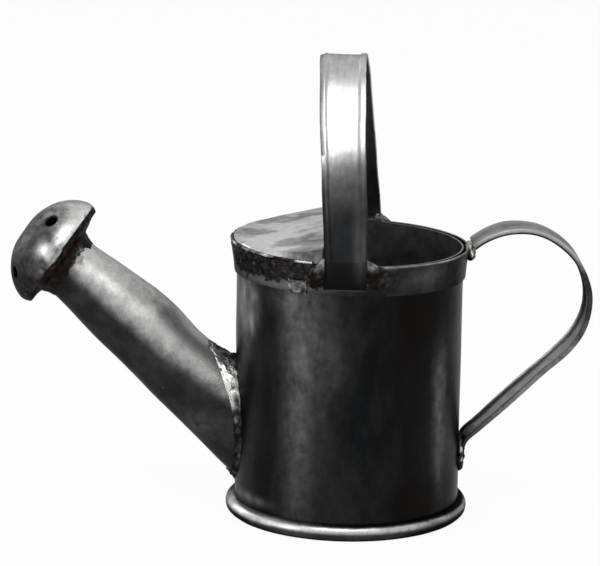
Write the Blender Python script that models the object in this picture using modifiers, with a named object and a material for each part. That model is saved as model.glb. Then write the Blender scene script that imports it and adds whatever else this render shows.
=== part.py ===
"""Small hand-made watering can of soldered tinned sheet.

The body is a straight sheet cylinder with a flared band round its mouth and a
rolled foot ring. A half-moon cover closes the spout side of the mouth, a hoop
strap spans it, and a bent strap handle joins the band to the lower wall. The
tapered spout ends in a domed rose. Solder fillets hold every joint.

Metres, +Z up, +X towards the rear handle, spout towards -X. The origin is at
the bottom centre of the whole can's box, so the body's axis lies off it in X.
Neighbours keep a gap of CLEARANCE to each other.
"""

import math

import bmesh
import bpy
from mathutils import Matrix, Vector
from mathutils.geometry import interpolate_bezier

# General
CLEARANCE = 0.0003
SHEET = 0.0007
ROUND_STEPS = 56
WELD = 0.00001
SMOOTH_ANGLE = math.radians(35.0)

# Body
WALL_RADIUS = 0.0431
RIM_HEIGHT = 0.1053
RIM_TILT = math.radians(0.9)
WALL_LEVELS = 6
PORT_LEDGE = 0.0021
PORT_SIDES = 30
PORT_TURN = math.radians(3.0)
SEAM_WIDTH = 0.0050
SEAM_HEIGHT = 0.0006
SEAM_ANGLE = math.radians(62.0)
SEAM_STOP = 0.0011
PLATE_STEPS = 4

# Foot ring and bottom plate
FOOT_ROLL = 0.0032
FOOT_RING_OFFSET = 0.0002
FOOT_FLAT = 0.0009
FOOT_SIDES = 11
BASE_FILLET = 0.0022

# Band round the mouth
BAND_HEIGHT = 0.0113
BAND_FLARE = 0.0011
BAND_HEM = 0.0009
BAND_HEM_HEIGHT = 0.0022
BAND_SOFTENING = 0.0004
BAND_WAIST = 0.35
BAND_PATCH_ANGLES = (math.radians(242.8), math.radians(252.6))
BAND_PATCH_HEIGHT = 0.0048
BAND_PATCH_OVERHANG = 0.0004
BAND_PATCH_THICKNESS = 0.0006

# Cover over the spout side of the mouth
COVER_INSET = 0.0012
COVER_STRAIGHT_EDGE = -0.0076
COVER_LIFT = 0.0043
COVER_LIFT_POWER = 2.1
COVER_EDGE_DROP = 0.0006
COVER_BEAD = 0.0006
COVER_BEAD_SPAN = math.radians(150.0)
COVER_BEAD_STEPS = 26
COVER_RINGS = 6
COVER_STEPS = 22

# Hoop strap over the mouth
BAIL_RISE = 0.0722
BAIL_SPRING_RISE = 0.0017
BAIL_CROWN = 0.6
BAIL_TOP_WIDTH = 0.0176
BAIL_FOOT_WIDTH = 0.0158
BAIL_THICKNESS = 0.0009
BAIL_HEM = 0.0005
BAIL_HEM_WIDTH = 0.0024
BAIL_FOOT_X = 0.0012
BAIL_TOP_X = -0.0038
BAIL_FOOT_DROP = 0.0087
BAIL_FOOT_EASE = 0.2
BAIL_SEGMENTS = 30

# Rear handle: the course of its outer face, out from the wall and up or down
# from the rim or the can's bottom
HANDLE_TURN = math.radians(6.5)
HANDLE_WIDTH = 0.0170
HANDLE_TAB_WIDTH = 0.0085
HANDLE_THICKNESS = 0.0009
HANDLE_HEM = 0.0011
HANDLE_HEM_WIDTH = 0.0022
HANDLE_PROJECTION = 0.0491
HANDLE_BEND_DROP = 0.0208
HANDLE_TOP_RISE = 0.0072
HANDLE_TOP_OUT = 0.0219
HANDLE_ROOT_RISE = 0.0004
HANDLE_ROOT_SLOPE = math.radians(40.0)
HANDLE_KNEE_OUT = 0.0389
HANDLE_KNEE_DROP = 0.0428
HANDLE_ELBOW_OUT = 0.0074
HANDLE_ELBOW_RISE = 0.0072
HANDLE_FOOT_HEIGHT = 0.0260
HANDLE_TAB_LENGTH = 0.0065
HANDLE_ROUNDING = 0.36
HANDLE_STEPS = 6

# Spout: each station is a share of its length, an extra radius beyond the
# straight taper and an upward shift of the centre line
SPOUT_ROOT_HEIGHT = 0.0356
SPOUT_LENGTH = 0.0852
SPOUT_SLOPE = math.radians(41.3)
SPOUT_TIP_RADIUS = 0.0121
SPOUT_ROOT_RADIUS = 0.0166
SPOUT_STATIONS = (
    (0.000, 0.0000, 0.0000),
    (0.106, 0.0005, 0.0004),
    (0.210, 0.0008, 0.0007),
    (0.317, 0.0010, 0.0010),
    (0.400, 0.0012, 0.0012),
    (0.470, 0.0011, 0.0011),
    (0.575, 0.0005, 0.0004),
    (0.716, 0.0001, 0.0000),
    (1.000, 0.0000, 0.0000),
)
SPOUT_OVERRUN = 0.0060
SPOUT_INNER_OVERRUN = 0.0200
SPOUT_SIDES = 28

# Rose
ROSE_SEAT = 0.0064
ROSE_LIFT = 0.0012
ROSE_DROOP = math.radians(6.4)
ROSE_RADIUS = 0.0224
ROSE_DEPTH = 0.0172
ROSE_SKIRT = 0.0014
ROSE_BACK_DROP = 0.0026
ROSE_BACK_LEDGE = 0.0014
ROSE_BACK_EDGE = 0.0004
ROSE_HOLE_RADIUS = 0.00225
ROSE_HOLE_MARGIN = 0.0046
ROSE_HOLE_COUNT = 4
ROSE_HOLE_START = math.radians(42.0)
ROSE_HOLE_SIDES = 12
ROSE_STEPS = 40
DOME_RINGS = 8

# Solder
ROOT_SOLDER_REACH = 0.0024
ROOT_SOLDER_THICKNESS = 0.0020
NECK_SOLDER_REACH = 0.0048
NECK_SOLDER_THICKNESS = 0.0025
BAIL_SOLDER_SIZE = (0.0056, 0.0016, 0.0052)
BAIL_SOLDER_DROP = 0.0046
BAIL_SOLDER_OFFSET = 0.0010
HANDLE_TOP_SOLDER_SIZE = (0.0020, 0.0102, 0.0040)
HANDLE_TOP_SOLDER_DROP = 0.0042
HANDLE_FOOT_SOLDER_SIZE = (0.0019, 0.0102, 0.0066)
HANDLE_FOOT_SOLDER_DROP = 0.0038
BLOB_SEGMENTS = 16
BLOB_RINGS = 8
FAR = 0.2

# Colours: base colour, roughness, metallic
TARNISHED_TIN = ((0.10, 0.10, 0.11), 0.42, 0.9)
DARK_TIN = ((0.045, 0.045, 0.048), 0.5, 0.9)
WORN_TIN = ((0.38, 0.38, 0.38), 0.4, 0.9)
BURNT_SOLDER = ((0.09, 0.075, 0.065), 0.6, 0.6)
BRIGHT_SOLDER = ((0.42, 0.41, 0.39), 0.35, 0.9)

# What follows from the sizes above
WALL_BOTTOM = 2 * FOOT_ROLL + CLEARANCE
WALL_INNER = WALL_RADIUS - SHEET
FOOT_RING_RADIUS = WALL_RADIUS + FOOT_RING_OFFSET
BAND_BOTTOM = RIM_HEIGHT - BAND_HEIGHT
BAND_INNER = WALL_RADIUS + CLEARANCE
BAND_TOP_OUTER = BAND_INNER + BAND_FLARE + BAND_HEM
COVER_RADIUS = BAND_TOP_OUTER - COVER_INSET
STRAP_INNER = BAND_TOP_OUTER + CLEARANCE
BAIL_SPRING = RIM_HEIGHT + BAIL_SPRING_RISE
BAIL_TOP = RIM_HEIGHT + BAIL_RISE
PORT_RADIUS = SPOUT_ROOT_RADIUS - SHEET - PORT_LEDGE
ROSE_BACK_BORE = SPOUT_TIP_RADIUS - SHEET - ROSE_BACK_LEDGE
ROSE_ELEVATION = SPOUT_SLOPE - ROSE_DROOP


def remove_everything():
    """Empty the scene without closing the file."""
    for obj in list(bpy.data.objects):
        bpy.data.objects.remove(obj, do_unlink=True)


def new_collection(name):
    """A collection linked to the scene."""
    collection = bpy.data.collections.new(name)
    bpy.context.scene.collection.children.link(collection)
    return collection


def new_material(name, finish):
    """A Principled material from a colour, a roughness and a metallic value."""
    colour, roughness, metallic = finish
    material = bpy.data.materials.new(name)
    material.use_nodes = True
    shader = material.node_tree.nodes["Principled BSDF"]
    shader.inputs["Base Color"].default_value = (*colour, 1.0)
    shader.inputs["Roughness"].default_value = roughness
    shader.inputs["Metallic"].default_value = metallic
    material.diffuse_color = (*colour, 1.0)
    return material


def mesh_object(name, bm, collection):
    """Turn a bmesh into an object of the collection, with its faces outwards."""
    bmesh.ops.recalc_face_normals(bm, faces=bm.faces)
    mesh = bpy.data.meshes.new(name)
    bm.to_mesh(mesh)
    bm.free()
    obj = bpy.data.objects.new(name, mesh)
    collection.objects.link(obj)
    return obj


def baked(obj):
    """Replace an object's data by its evaluated mesh, with near points welded."""
    bpy.context.view_layer.update()
    depsgraph = bpy.context.evaluated_depsgraph_get()
    mesh = bpy.data.meshes.new_from_object(obj.evaluated_get(depsgraph))
    bm = bmesh.new()
    bm.from_mesh(mesh)
    bmesh.ops.remove_doubles(bm, verts=bm.verts, dist=WELD)
    bm.to_mesh(mesh)
    bm.free()
    name = obj.name
    matrix = obj.matrix_world.copy()
    collection = obj.users_collection[0]
    bpy.data.objects.remove(obj, do_unlink=True)
    result = bpy.data.objects.new(name, mesh)
    result.matrix_world = matrix
    collection.objects.link(result)
    return result


def boolean(obj, cutter, operation="DIFFERENCE"):
    """Cut an object by a cutter, or keep what both share."""
    modifier = obj.modifiers.new(f"{operation.lower()} {cutter.name}", "BOOLEAN")
    modifier.operation = operation
    modifier.solver = "EXACT"
    modifier.object = cutter


def turned(name, profile, collection, steps=ROUND_STEPS):
    """Turn a closed profile of (radius, height) points round Z.

    The profile runs down its outer side and back up its inner side.
    """
    bm = bmesh.new()
    points = [bm.verts.new((radius, 0.0, height)) for radius, height in profile]
    for first, second in zip(points, points[1:] + points[:1]):
        bm.edges.new((first, second))
    mesh = bpy.data.meshes.new(name)
    bm.to_mesh(mesh)
    bm.free()
    obj = bpy.data.objects.new(name, mesh)
    collection.objects.link(obj)
    screw = obj.modifiers.new("turn", "SCREW")
    screw.steps = steps
    screw.render_steps = steps
    screw.use_merge_vertices = True
    screw.merge_threshold = WELD
    return obj


def cylinder(name, radius, bottom, top, collection, steps=ROUND_STEPS):
    """A solid cylinder round Z between two heights."""
    bm = bmesh.new()
    bmesh.ops.create_cone(
        bm, cap_ends=True, segments=steps, radius1=radius, radius2=radius, depth=top - bottom
    )
    bmesh.ops.translate(bm, verts=bm.verts, vec=(0.0, 0.0, (top + bottom) / 2))
    return mesh_object(name, bm, collection)


def arc_plate(name, radii, angles, heights, collection):
    """A curved plate round Z: an arc outline extruded between two heights."""
    inner, outer = radii
    start, end = angles
    low, high = heights
    turns = [start + (end - start) * i / PLATE_STEPS for i in range(PLATE_STEPS + 1)]
    outline = [(outer * math.cos(t), outer * math.sin(t), low) for t in turns]
    outline += [(inner * math.cos(t), inner * math.sin(t), low) for t in reversed(turns)]
    bm = bmesh.new()
    face = bm.faces.new([bm.verts.new(point) for point in outline])
    lifted = bmesh.ops.extrude_face_region(bm, geom=[face])["geom"]
    verts = [item for item in lifted if isinstance(item, bmesh.types.BMVert)]
    bmesh.ops.translate(bm, verts=verts, vec=(0.0, 0.0, high - low))
    return mesh_object(name, bm, collection)


def reshape(obj, move):
    """Move every point of an object's own mesh by a function of its place."""
    for vert in obj.data.vertices:
        vert.co = move(vert.co.copy())


def tilted(point, share=1.0):
    """Lower a point towards +X by the rim's tilt, or a share of it."""
    return Vector((point.x, point.y, point.z - share * math.tan(RIM_TILT) * point.x))


def strap_section(width, thickness, hem, hem_width, grow, hems_inward):
    """Outline of a strap with folded edges, as (across, outward) points.

    The bare sheet's inner face lies at outward 0. Folded edges stand proud by
    hem, on the outer or the inner side. A grown outline makes a cutter.
    """
    half = width / 2 + grow
    fold = half - hem_width - grow
    soft = min(hem, thickness) * 0.5
    if grow > 0:
        low = -grow - (hem if hems_inward else 0.0)
        high = thickness + grow + (0.0 if hems_inward else hem)
        return [(-half, low), (half, low), (half, high), (-half, high)]
    if hems_inward:
        return [
            (-half, -hem + soft), (-half + soft, -hem), (-fold, -hem), (-fold + soft, 0.0),
            (fold - soft, 0.0), (fold, -hem), (half - soft, -hem), (half, -hem + soft),
            (half, thickness - soft), (half - soft, thickness),
            (-half + soft, thickness), (-half, thickness - soft),
        ]
    high = thickness + hem
    return [
        (-half, soft), (-half + soft, 0.0), (half - soft, 0.0), (half, soft),
        (half, high - soft), (half - soft, high), (fold, high), (fold - soft, thickness),
        (-fold + soft, thickness), (-fold, high), (-half + soft, high), (-half, high - soft),
    ]


def lofted(name, sections, collection):
    """Join closed sections of equal count into one capped solid."""
    bm = bmesh.new()
    rings = [[bm.verts.new(point) for point in section] for section in sections]
    for first, second in zip(rings, rings[1:]):
        for i in range(len(first)):
            j = (i + 1) % len(first)
            bm.faces.new((first[i], first[j], second[j], second[i]))
    bm.faces.new(rings[0])
    bm.faces.new(rings[-1])
    return mesh_object(name, bm, collection)


def path_frames(path):
    """Unit tangents of a planar path of (reach, height) points."""
    frames = []
    for i, point in enumerate(path):
        before = path[max(i - 1, 0)]
        after = path[min(i + 1, len(path) - 1)]
        along = (Vector(after) - Vector(before)).normalized()
        frames.append((Vector(point), along))
    return frames


def bezier_path(knots):
    """Sample knots of (point, direction) with smooth curves between them."""
    path = []
    for (start, leave), (end, arrive) in zip(knots, knots[1:]):
        chord = (Vector(end) - Vector(start)).length
        handle_1 = Vector(start) + Vector(leave).normalized() * chord * HANDLE_ROUNDING
        handle_2 = Vector(end) - Vector(arrive).normalized() * chord * HANDLE_ROUNDING
        points = [Vector((*p, 0.0)) for p in (start, handle_1, handle_2, end)]
        path += [(p.x, p.y) for p in interpolate_bezier(*points, HANDLE_STEPS + 1)[:-1]]
    path.append(tuple(knots[-1][0]))
    return path


def bail_drop(share):
    """Drop of the hoop below its crown at a share of its half span, 0 to 1."""
    full = math.hypot(1.0, BAIL_CROWN) - BAIL_CROWN
    return (math.hypot(share, BAIL_CROWN) - BAIL_CROWN) / full


def bail_path():
    """Inner face of the hoop as (y, z) points from the near to the far foot."""
    crown = BAIL_TOP - BAIL_THICKNESS - BAIL_HEM
    rise = crown - BAIL_SPRING
    arch = []
    for i in range(BAIL_SEGMENTS + 1):
        share = math.sin(math.pi / 2 * (2 * i / BAIL_SEGMENTS - 1))
        arch.append((share * (STRAP_INNER - CLEARANCE), crown - rise * bail_drop(abs(share))))
    low = RIM_HEIGHT - BAIL_FOOT_DROP
    high = BAIL_SPRING - (BAIL_SPRING - low) * BAIL_FOOT_EASE
    feet = (low, (low + high) / 2, high)
    near = [(-STRAP_INNER, height) for height in feet]
    far = [(STRAP_INNER, height) for height in reversed(feet)]
    return near + arch + far


def bail_strap(name, collection, grow=0.0):
    """The hoop strap, or a grown copy of it for cutting its solder."""
    sections = []
    for point, along in path_frames(bail_path()):
        outward = Vector((-along.y, along.x))
        share = max(0.0, (point.y - BAIL_SPRING) / (BAIL_TOP - BAIL_SPRING))
        width = BAIL_FOOT_WIDTH + (BAIL_TOP_WIDTH - BAIL_FOOT_WIDTH) * share
        shift = BAIL_FOOT_X + (BAIL_TOP_X - BAIL_FOOT_X) * share
        outline = strap_section(width, BAIL_THICKNESS, BAIL_HEM, BAIL_HEM_WIDTH, grow, False)
        sections.append([
            (shift + across, point.x + outward.x * out, point.y + outward.y * out)
            for across, out in outline
        ])
    return lofted(name, sections, collection)


def handle_path():
    """Outer face of the rear handle as (reach, height) points, top to foot."""
    tab = WALL_RADIUS + CLEARANCE + HANDLE_THICKNESS + HANDLE_HEM / 2
    knee = Vector((WALL_RADIUS + HANDLE_KNEE_OUT, RIM_HEIGHT - HANDLE_KNEE_DROP))
    elbow = Vector((WALL_RADIUS + HANDLE_ELBOW_OUT, HANDLE_FOOT_HEIGHT + HANDLE_ELBOW_RISE))
    slant = elbow - knee
    root_way = (math.cos(HANDLE_ROOT_SLOPE), math.sin(HANDLE_ROOT_SLOPE))
    knots = [
        ((STRAP_INNER + CLEARANCE, RIM_HEIGHT + HANDLE_ROOT_RISE), root_way),
        ((WALL_RADIUS + HANDLE_TOP_OUT, RIM_HEIGHT + HANDLE_TOP_RISE), (1.0, 0.0)),
        ((WALL_RADIUS + HANDLE_PROJECTION, RIM_HEIGHT - HANDLE_BEND_DROP), (0.0, -1.0)),
        (knee, slant),
        (elbow, slant),
        ((tab, HANDLE_FOOT_HEIGHT), (-0.05, -1.0)),
        ((tab, HANDLE_FOOT_HEIGHT - HANDLE_TAB_LENGTH), (0.0, -1.0)),
    ]
    return bezier_path(knots)


def rear_handle(name, collection, grow=0.0):
    """The rear handle strap, or a grown copy of it for cutting its solder."""
    across_axis = Vector((-math.sin(HANDLE_TURN), math.cos(HANDLE_TURN), 0.0))
    reach_axis = Vector((math.cos(HANDLE_TURN), math.sin(HANDLE_TURN), 0.0))
    sections = []
    for point, along in path_frames(handle_path()):
        outward = Vector((-along.y, along.x))
        taper = min(1.0, max(0.0, (HANDLE_FOOT_HEIGHT - point.y) / HANDLE_TAB_LENGTH))
        width = HANDLE_WIDTH + (HANDLE_TAB_WIDTH - HANDLE_WIDTH) * taper
        at_foot = point.y < HANDLE_FOOT_HEIGHT + HANDLE_ELBOW_RISE
        hem = HANDLE_HEM / 2 if at_foot else HANDLE_HEM
        outline = strap_section(width, HANDLE_THICKNESS, hem, HANDLE_HEM_WIDTH, grow, True)
        section = []
        for across, out in outline:
            place = point + outward * (out - HANDLE_THICKNESS)
            spot = reach_axis * place.x + across_axis * across
            section.append((spot.x, spot.y, place.y))
        sections.append(section)
    return lofted(name, sections, collection)


def handle_reach():
    """How far the rear handle stands out along +X from the body's axis."""
    outermost = max(point[0] for point in handle_path())
    return outermost * math.cos(HANDLE_TURN) + HANDLE_WIDTH / 2 * math.sin(HANDLE_TURN)


def rose_reach():
    """How far the rose's dome stands out along -X from the body's axis."""
    deep = ROSE_DEPTH * math.cos(ROSE_ELEVATION)
    wide = ROSE_RADIUS * math.sin(ROSE_ELEVATION)
    return -rose_matrix().translation.x + math.hypot(deep, wide)


def body_wall(parts, cutters):
    """Straight sheet cylinder, sheared to the rim's tilt, with the spout's port."""
    top = RIM_HEIGHT - CLEARANCE
    step = (top - WALL_BOTTOM) / WALL_LEVELS
    heights = [WALL_BOTTOM + step * i for i in range(WALL_LEVELS + 1)]
    profile = [(WALL_RADIUS, z) for z in reversed(heights)] + [(WALL_INNER, z) for z in heights]
    wall = baked(turned("body_wall", profile, parts))
    reshape(wall, lambda p: tilted(p, (p.z - WALL_BOTTOM) / (top - WALL_BOTTOM)))
    start = SPOUT_LENGTH - 2 * PORT_RADIUS
    end = SPOUT_LENGTH + 2 * PORT_RADIUS
    port = cylinder("port_cutter", PORT_RADIUS, start, end, cutters, PORT_SIDES)
    port.matrix_world = spout_matrix() @ Matrix.Rotation(PORT_TURN, 4, "Z")
    boolean(wall, port)
    return wall


def rim_band(parts):
    """Flared band with a turned edge, tilted with the rim."""
    low = BAND_BOTTOM
    high = RIM_HEIGHT
    hem_start = high - BAND_HEM_HEIGHT
    inner_top = BAND_INNER + BAND_FLARE
    waist = BAND_INNER + BAND_FLARE * BAND_WAIST
    middle = (low + hem_start) / 2
    profile = [
        (BAND_TOP_OUTER - BAND_SOFTENING, high), (BAND_TOP_OUTER, high - BAND_SOFTENING),
        (BAND_TOP_OUTER, hem_start + BAND_SOFTENING), (inner_top + SHEET, hem_start),
        (waist + SHEET, middle), (BAND_INNER + SHEET, low),
        (BAND_INNER, low), (waist, middle), (inner_top, hem_start), (inner_top, high),
    ]
    band = baked(turned("rim_band", profile, parts))
    reshape(band, tilted)
    return band


def foot_ring(parts):
    """Rolled bead under the wall, with a narrow flat to stand on."""
    start = math.asin(FOOT_FLAT / FOOT_ROLL)
    turn = 2 * math.pi - 2 * start
    points = []
    for i in range(FOOT_SIDES + 1):
        angle = -math.pi / 2 - start - turn * i / FOOT_SIDES
        radius = FOOT_RING_RADIUS + FOOT_ROLL * math.cos(angle)
        points.append((radius, FOOT_ROLL + FOOT_ROLL * math.sin(angle)))
    flat = FOOT_ROLL * (1 - math.cos(start))
    return turned("foot_ring", [(r, max(0.0, z - flat)) for r, z in points], parts)


def base_disc(parts):
    """Recessed bottom plate, inside the wall and on the foot ring's shoulder."""
    radius = WALL_INNER - CLEARANCE
    return cylinder("base_disc", radius, WALL_BOTTOM, WALL_BOTTOM + SHEET, parts)


def base_solder(parts):
    """Fillet inside the can, where the bottom plate meets the wall."""
    outer = WALL_INNER - CLEARANCE
    low = WALL_BOTTOM + SHEET + CLEARANCE
    profile = [(outer, low + BASE_FILLET), (outer, low), (outer - BASE_FILLET, low)]
    return turned("base_solder", profile, parts)


def side_seam(parts):
    """Soldered lap seam up the far side of the wall."""
    half = SEAM_WIDTH / WALL_RADIUS / 2
    inner = WALL_RADIUS + CLEARANCE
    return arc_plate(
        "side_seam",
        (inner, inner + SEAM_HEIGHT),
        (SEAM_ANGLE - half, SEAM_ANGLE + half),
        (WALL_BOTTOM, BAND_BOTTOM - SEAM_STOP),
        parts,
    )


def band_patch(parts):
    """Small soldered lap on the band's lower edge, left of the near foot."""
    inner = BAND_INNER + SHEET + BAND_FLARE * BAND_WAIST + CLEARANCE
    patch = arc_plate(
        "band_patch",
        (inner, inner + BAND_PATCH_THICKNESS),
        BAND_PATCH_ANGLES,
        (BAND_BOTTOM - BAND_PATCH_OVERHANG, BAND_BOTTOM + BAND_PATCH_HEIGHT),
        parts,
    )
    reshape(patch, tilted)
    return patch


def cover_height(x):
    """Lift of the cover above the rim at a place along X."""
    share = max(0.0, (x + COVER_RADIUS) / (COVER_STRAIGHT_EDGE + COVER_RADIUS))
    return COVER_LIFT * share ** COVER_LIFT_POWER


def mouth_cover(parts):
    """Half-moon plate that rises to its straight edge, with a turned-down edge."""
    half = math.acos(-COVER_STRAIGHT_EDGE / COVER_RADIUS)
    bm = bmesh.new()
    rows = []
    for i in range(COVER_STEPS + 1):
        angle = math.pi - half + 2 * half * i / COVER_STEPS
        edge = Vector((COVER_RADIUS * math.cos(angle), COVER_RADIUS * math.sin(angle)))
        root = Vector((COVER_STRAIGHT_EDGE, edge.y))
        row = []
        for j in range(COVER_RINGS + 1):
            spot = root.lerp(edge, j / COVER_RINGS)
            height = cover_height(spot.x) + SHEET + COVER_EDGE_DROP
            row.append(bm.verts.new((spot.x, spot.y, height)))
        skirt = edge * (1 + CLEARANCE / COVER_RADIUS)
        row.append(bm.verts.new((skirt.x, skirt.y, 0.0)))
        rows.append(row)
    for first, second in zip(rows, rows[1:]):
        for j in range(COVER_RINGS + 1):
            corners = (first[j], second[j], second[j + 1], first[j + 1])
            distinct = list(dict.fromkeys(corners))
            bm.faces.new(distinct)
    bmesh.ops.remove_doubles(bm, verts=bm.verts, dist=WELD)
    for face in bm.faces:
        face.normal_update()
    if sum(face.normal.z for face in bm.faces) < 0:
        bmesh.ops.reverse_faces(bm, faces=bm.faces)
    mesh = bpy.data.meshes.new("mouth_cover")
    bm.to_mesh(mesh)
    bm.free()
    cover = bpy.data.objects.new("mouth_cover", mesh)
    parts.objects.link(cover)
    reshape(cover, lambda p: tilted(p) + Vector((0.0, 0.0, RIM_HEIGHT + CLEARANCE)))
    shell = cover.modifiers.new("sheet", "SOLIDIFY")
    shell.thickness = SHEET
    shell.offset = -1.0
    shell.use_even_offset = True
    return cover


def cover_solder(parts):
    """Bead of solder along the cover's curved edge, on the band's turned edge."""
    curve = bpy.data.curves.new("cover_solder", "CURVE")
    curve.dimensions = "3D"
    curve.bevel_depth = COVER_BEAD
    curve.bevel_resolution = 1
    curve.use_fill_caps = True
    spline = curve.splines.new("POLY")
    spline.points.add(COVER_BEAD_STEPS)
    radius = COVER_RADIUS + COVER_BEAD + 2 * CLEARANCE
    for i, point in enumerate(spline.points):
        angle = math.pi + COVER_BEAD_SPAN * (i / COVER_BEAD_STEPS - 0.5)
        place = tilted(Vector((radius * math.cos(angle), radius * math.sin(angle), 0.0)))
        place.z += RIM_HEIGHT + COVER_BEAD + CLEARANCE
        point.co = (*place, 1.0)
    bead = bpy.data.objects.new("cover_solder", curve)
    parts.objects.link(bead)
    return baked(bead)


def spout_matrix():
    """Frame of the spout at its tip: +Z runs down its axis to the wall."""
    down = Vector((math.cos(SPOUT_SLOPE), 0.0, -math.sin(SPOUT_SLOPE)))
    lift = Vector((math.sin(SPOUT_SLOPE), 0.0, math.cos(SPOUT_SLOPE)))
    side = lift.cross(down)
    turn = Matrix((side, lift, down)).transposed().to_4x4()
    root = Vector((-WALL_RADIUS, 0.0, SPOUT_ROOT_HEIGHT))
    return Matrix.Translation(root - down * SPOUT_LENGTH) @ turn


def rose_matrix():
    """Frame of the rose's rim: +Z points out of its dome, up and away."""
    out = Vector((-math.cos(ROSE_ELEVATION), 0.0, math.sin(ROSE_ELEVATION)))
    up = Vector((math.sin(ROSE_ELEVATION), 0.0, math.cos(ROSE_ELEVATION)))
    side = out.cross(up)
    turn = Matrix((up, side, out)).transposed().to_4x4()
    centre = spout_matrix() @ Vector((0.0, ROSE_LIFT, -ROSE_SEAT))
    return Matrix.Translation(centre) @ turn


def spout_skin(name, grow, collection, caps):
    """Outer skin of the spout as a swept curve, grown by a distance."""
    curve = bpy.data.curves.new(name, "CURVE")
    curve.dimensions = "3D"
    curve.bevel_depth = 1.0
    curve.bevel_resolution = SPOUT_SIDES // 2 - 2
    curve.bevel_mode = "ROUND"
    curve.use_fill_caps = caps
    frame = spout_matrix()
    taper = (SPOUT_ROOT_RADIUS - SPOUT_TIP_RADIUS) / SPOUT_LENGTH
    stations = [(share * SPOUT_LENGTH, extra, lift) for share, extra, lift in SPOUT_STATIONS]
    stations.insert(0, (-SPOUT_OVERRUN, 0.0, 0.0))
    stations.append((SPOUT_LENGTH + SPOUT_INNER_OVERRUN, 0.0, 0.0))
    spline = curve.splines.new("POLY")
    spline.points.add(len(stations) - 1)
    for point, (along, extra, lift) in zip(spline.points, stations):
        point.co = (*(frame @ Vector((0.0, lift, along))), 1.0)
        point.radius = SPOUT_TIP_RADIUS + taper * along + extra + grow
    skin = bpy.data.objects.new(name, curve)
    collection.objects.link(skin)
    return baked(skin)


def spout_tube(parts):
    """Tapered sheet spout, cut to the rose's back and to the wall."""
    spout = spout_skin("spout_tube", 0.0, parts, False)
    shell = spout.modifiers.new("sheet", "SOLIDIFY")
    shell.thickness = SHEET
    shell.offset = -1.0
    boolean(spout, bpy.data.objects["wall_cutter"])
    boolean(spout, bpy.data.objects["rose_space_cutter"])
    return spout


def spout_root_solder(parts, cutters):
    """Lumpy fillet round the spout where it meets the wall."""
    solder = spout_skin("spout_root_solder", ROOT_SOLDER_THICKNESS, parts, True)
    reach = cylinder(
        "root_reach_cutter", WALL_RADIUS + CLEARANCE + ROOT_SOLDER_REACH, 0.0, FAR, cutters
    )
    core = spout_skin("spout_core_cutter", CLEARANCE, cutters, True)
    boolean(solder, reach, "INTERSECT")
    boolean(solder, bpy.data.objects["wall_cutter"])
    boolean(solder, core)
    boolean(solder, bpy.data.objects["foot_space_cutter"])
    return solder


def rose_neck_solder(parts, cutters):
    """Fillet round the spout where it meets the rose's back."""
    solder = spout_skin("rose_neck_solder", NECK_SOLDER_THICKNESS, parts, True)
    low = -ROSE_BACK_DROP - SHEET - NECK_SOLDER_REACH
    reach = cylinder("neck_reach_cutter", 2 * ROSE_RADIUS, low, ROSE_DEPTH, cutters)
    reach.matrix_world = rose_matrix()
    boolean(solder, reach, "INTERSECT")
    boolean(solder, bpy.data.objects["spout_core_cutter"])
    boolean(solder, bpy.data.objects["rose_space_cutter"])
    return solder


def rose_back_profile(grow):
    """Height of the rose's back at its edge and bore, grown backwards."""
    edge = (ROSE_RADIUS - SHEET - CLEARANCE, -ROSE_BACK_EDGE - grow)
    bore = (ROSE_BACK_BORE, -ROSE_BACK_DROP - grow)
    return edge, bore


def rose_back(parts):
    """Shallow back plate of the rose, with a bore into the spout."""
    edge, bore = rose_back_profile(0.0)
    profile = [edge, (edge[0], edge[1] - SHEET), (bore[0], bore[1] - SHEET), bore]
    back = turned("rose_back", profile, parts, ROSE_STEPS)
    back.matrix_world = rose_matrix()
    return back


def rose_space_cutter(cutters):
    """Everything in front of the rose back's rear face, for cutting the spout."""
    edge, bore = rose_back_profile(SHEET + CLEARANCE)
    slope = (edge[1] - bore[1]) / (edge[0] - bore[0])
    reach = 2 * ROSE_RADIUS
    rim_height = edge[1] + slope * (reach - edge[0])
    centre_height = bore[1] - slope * bore[0]
    profile = [(0.0, reach), (reach, reach), (reach, rim_height), (0.0, centre_height)]
    cutter = turned("rose_space_cutter", profile, cutters, ROSE_STEPS)
    cutter.matrix_world = rose_matrix()
    return cutter


def rose_dome(parts, cutters):
    """Domed front of the rose with its holes."""
    outer = []
    inner = []
    for i in range(DOME_RINGS + 1):
        angle = math.pi / 2 * (1 - i / DOME_RINGS)
        outer.append((ROSE_RADIUS * math.cos(angle), ROSE_DEPTH * math.sin(angle)))
        inner.append((
            (ROSE_RADIUS - SHEET) * math.cos(angle), (ROSE_DEPTH - SHEET) * math.sin(angle)
        ))
    outer.append((ROSE_RADIUS, -ROSE_SKIRT))
    inner.append((ROSE_RADIUS - SHEET, -ROSE_SKIRT))
    profile = outer + inner[::-1]
    dome = turned("rose_dome", profile, parts, ROSE_STEPS)
    dome.matrix_world = rose_matrix()
    boolean(dome, rose_hole_cutters(cutters))
    return dome


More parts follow.
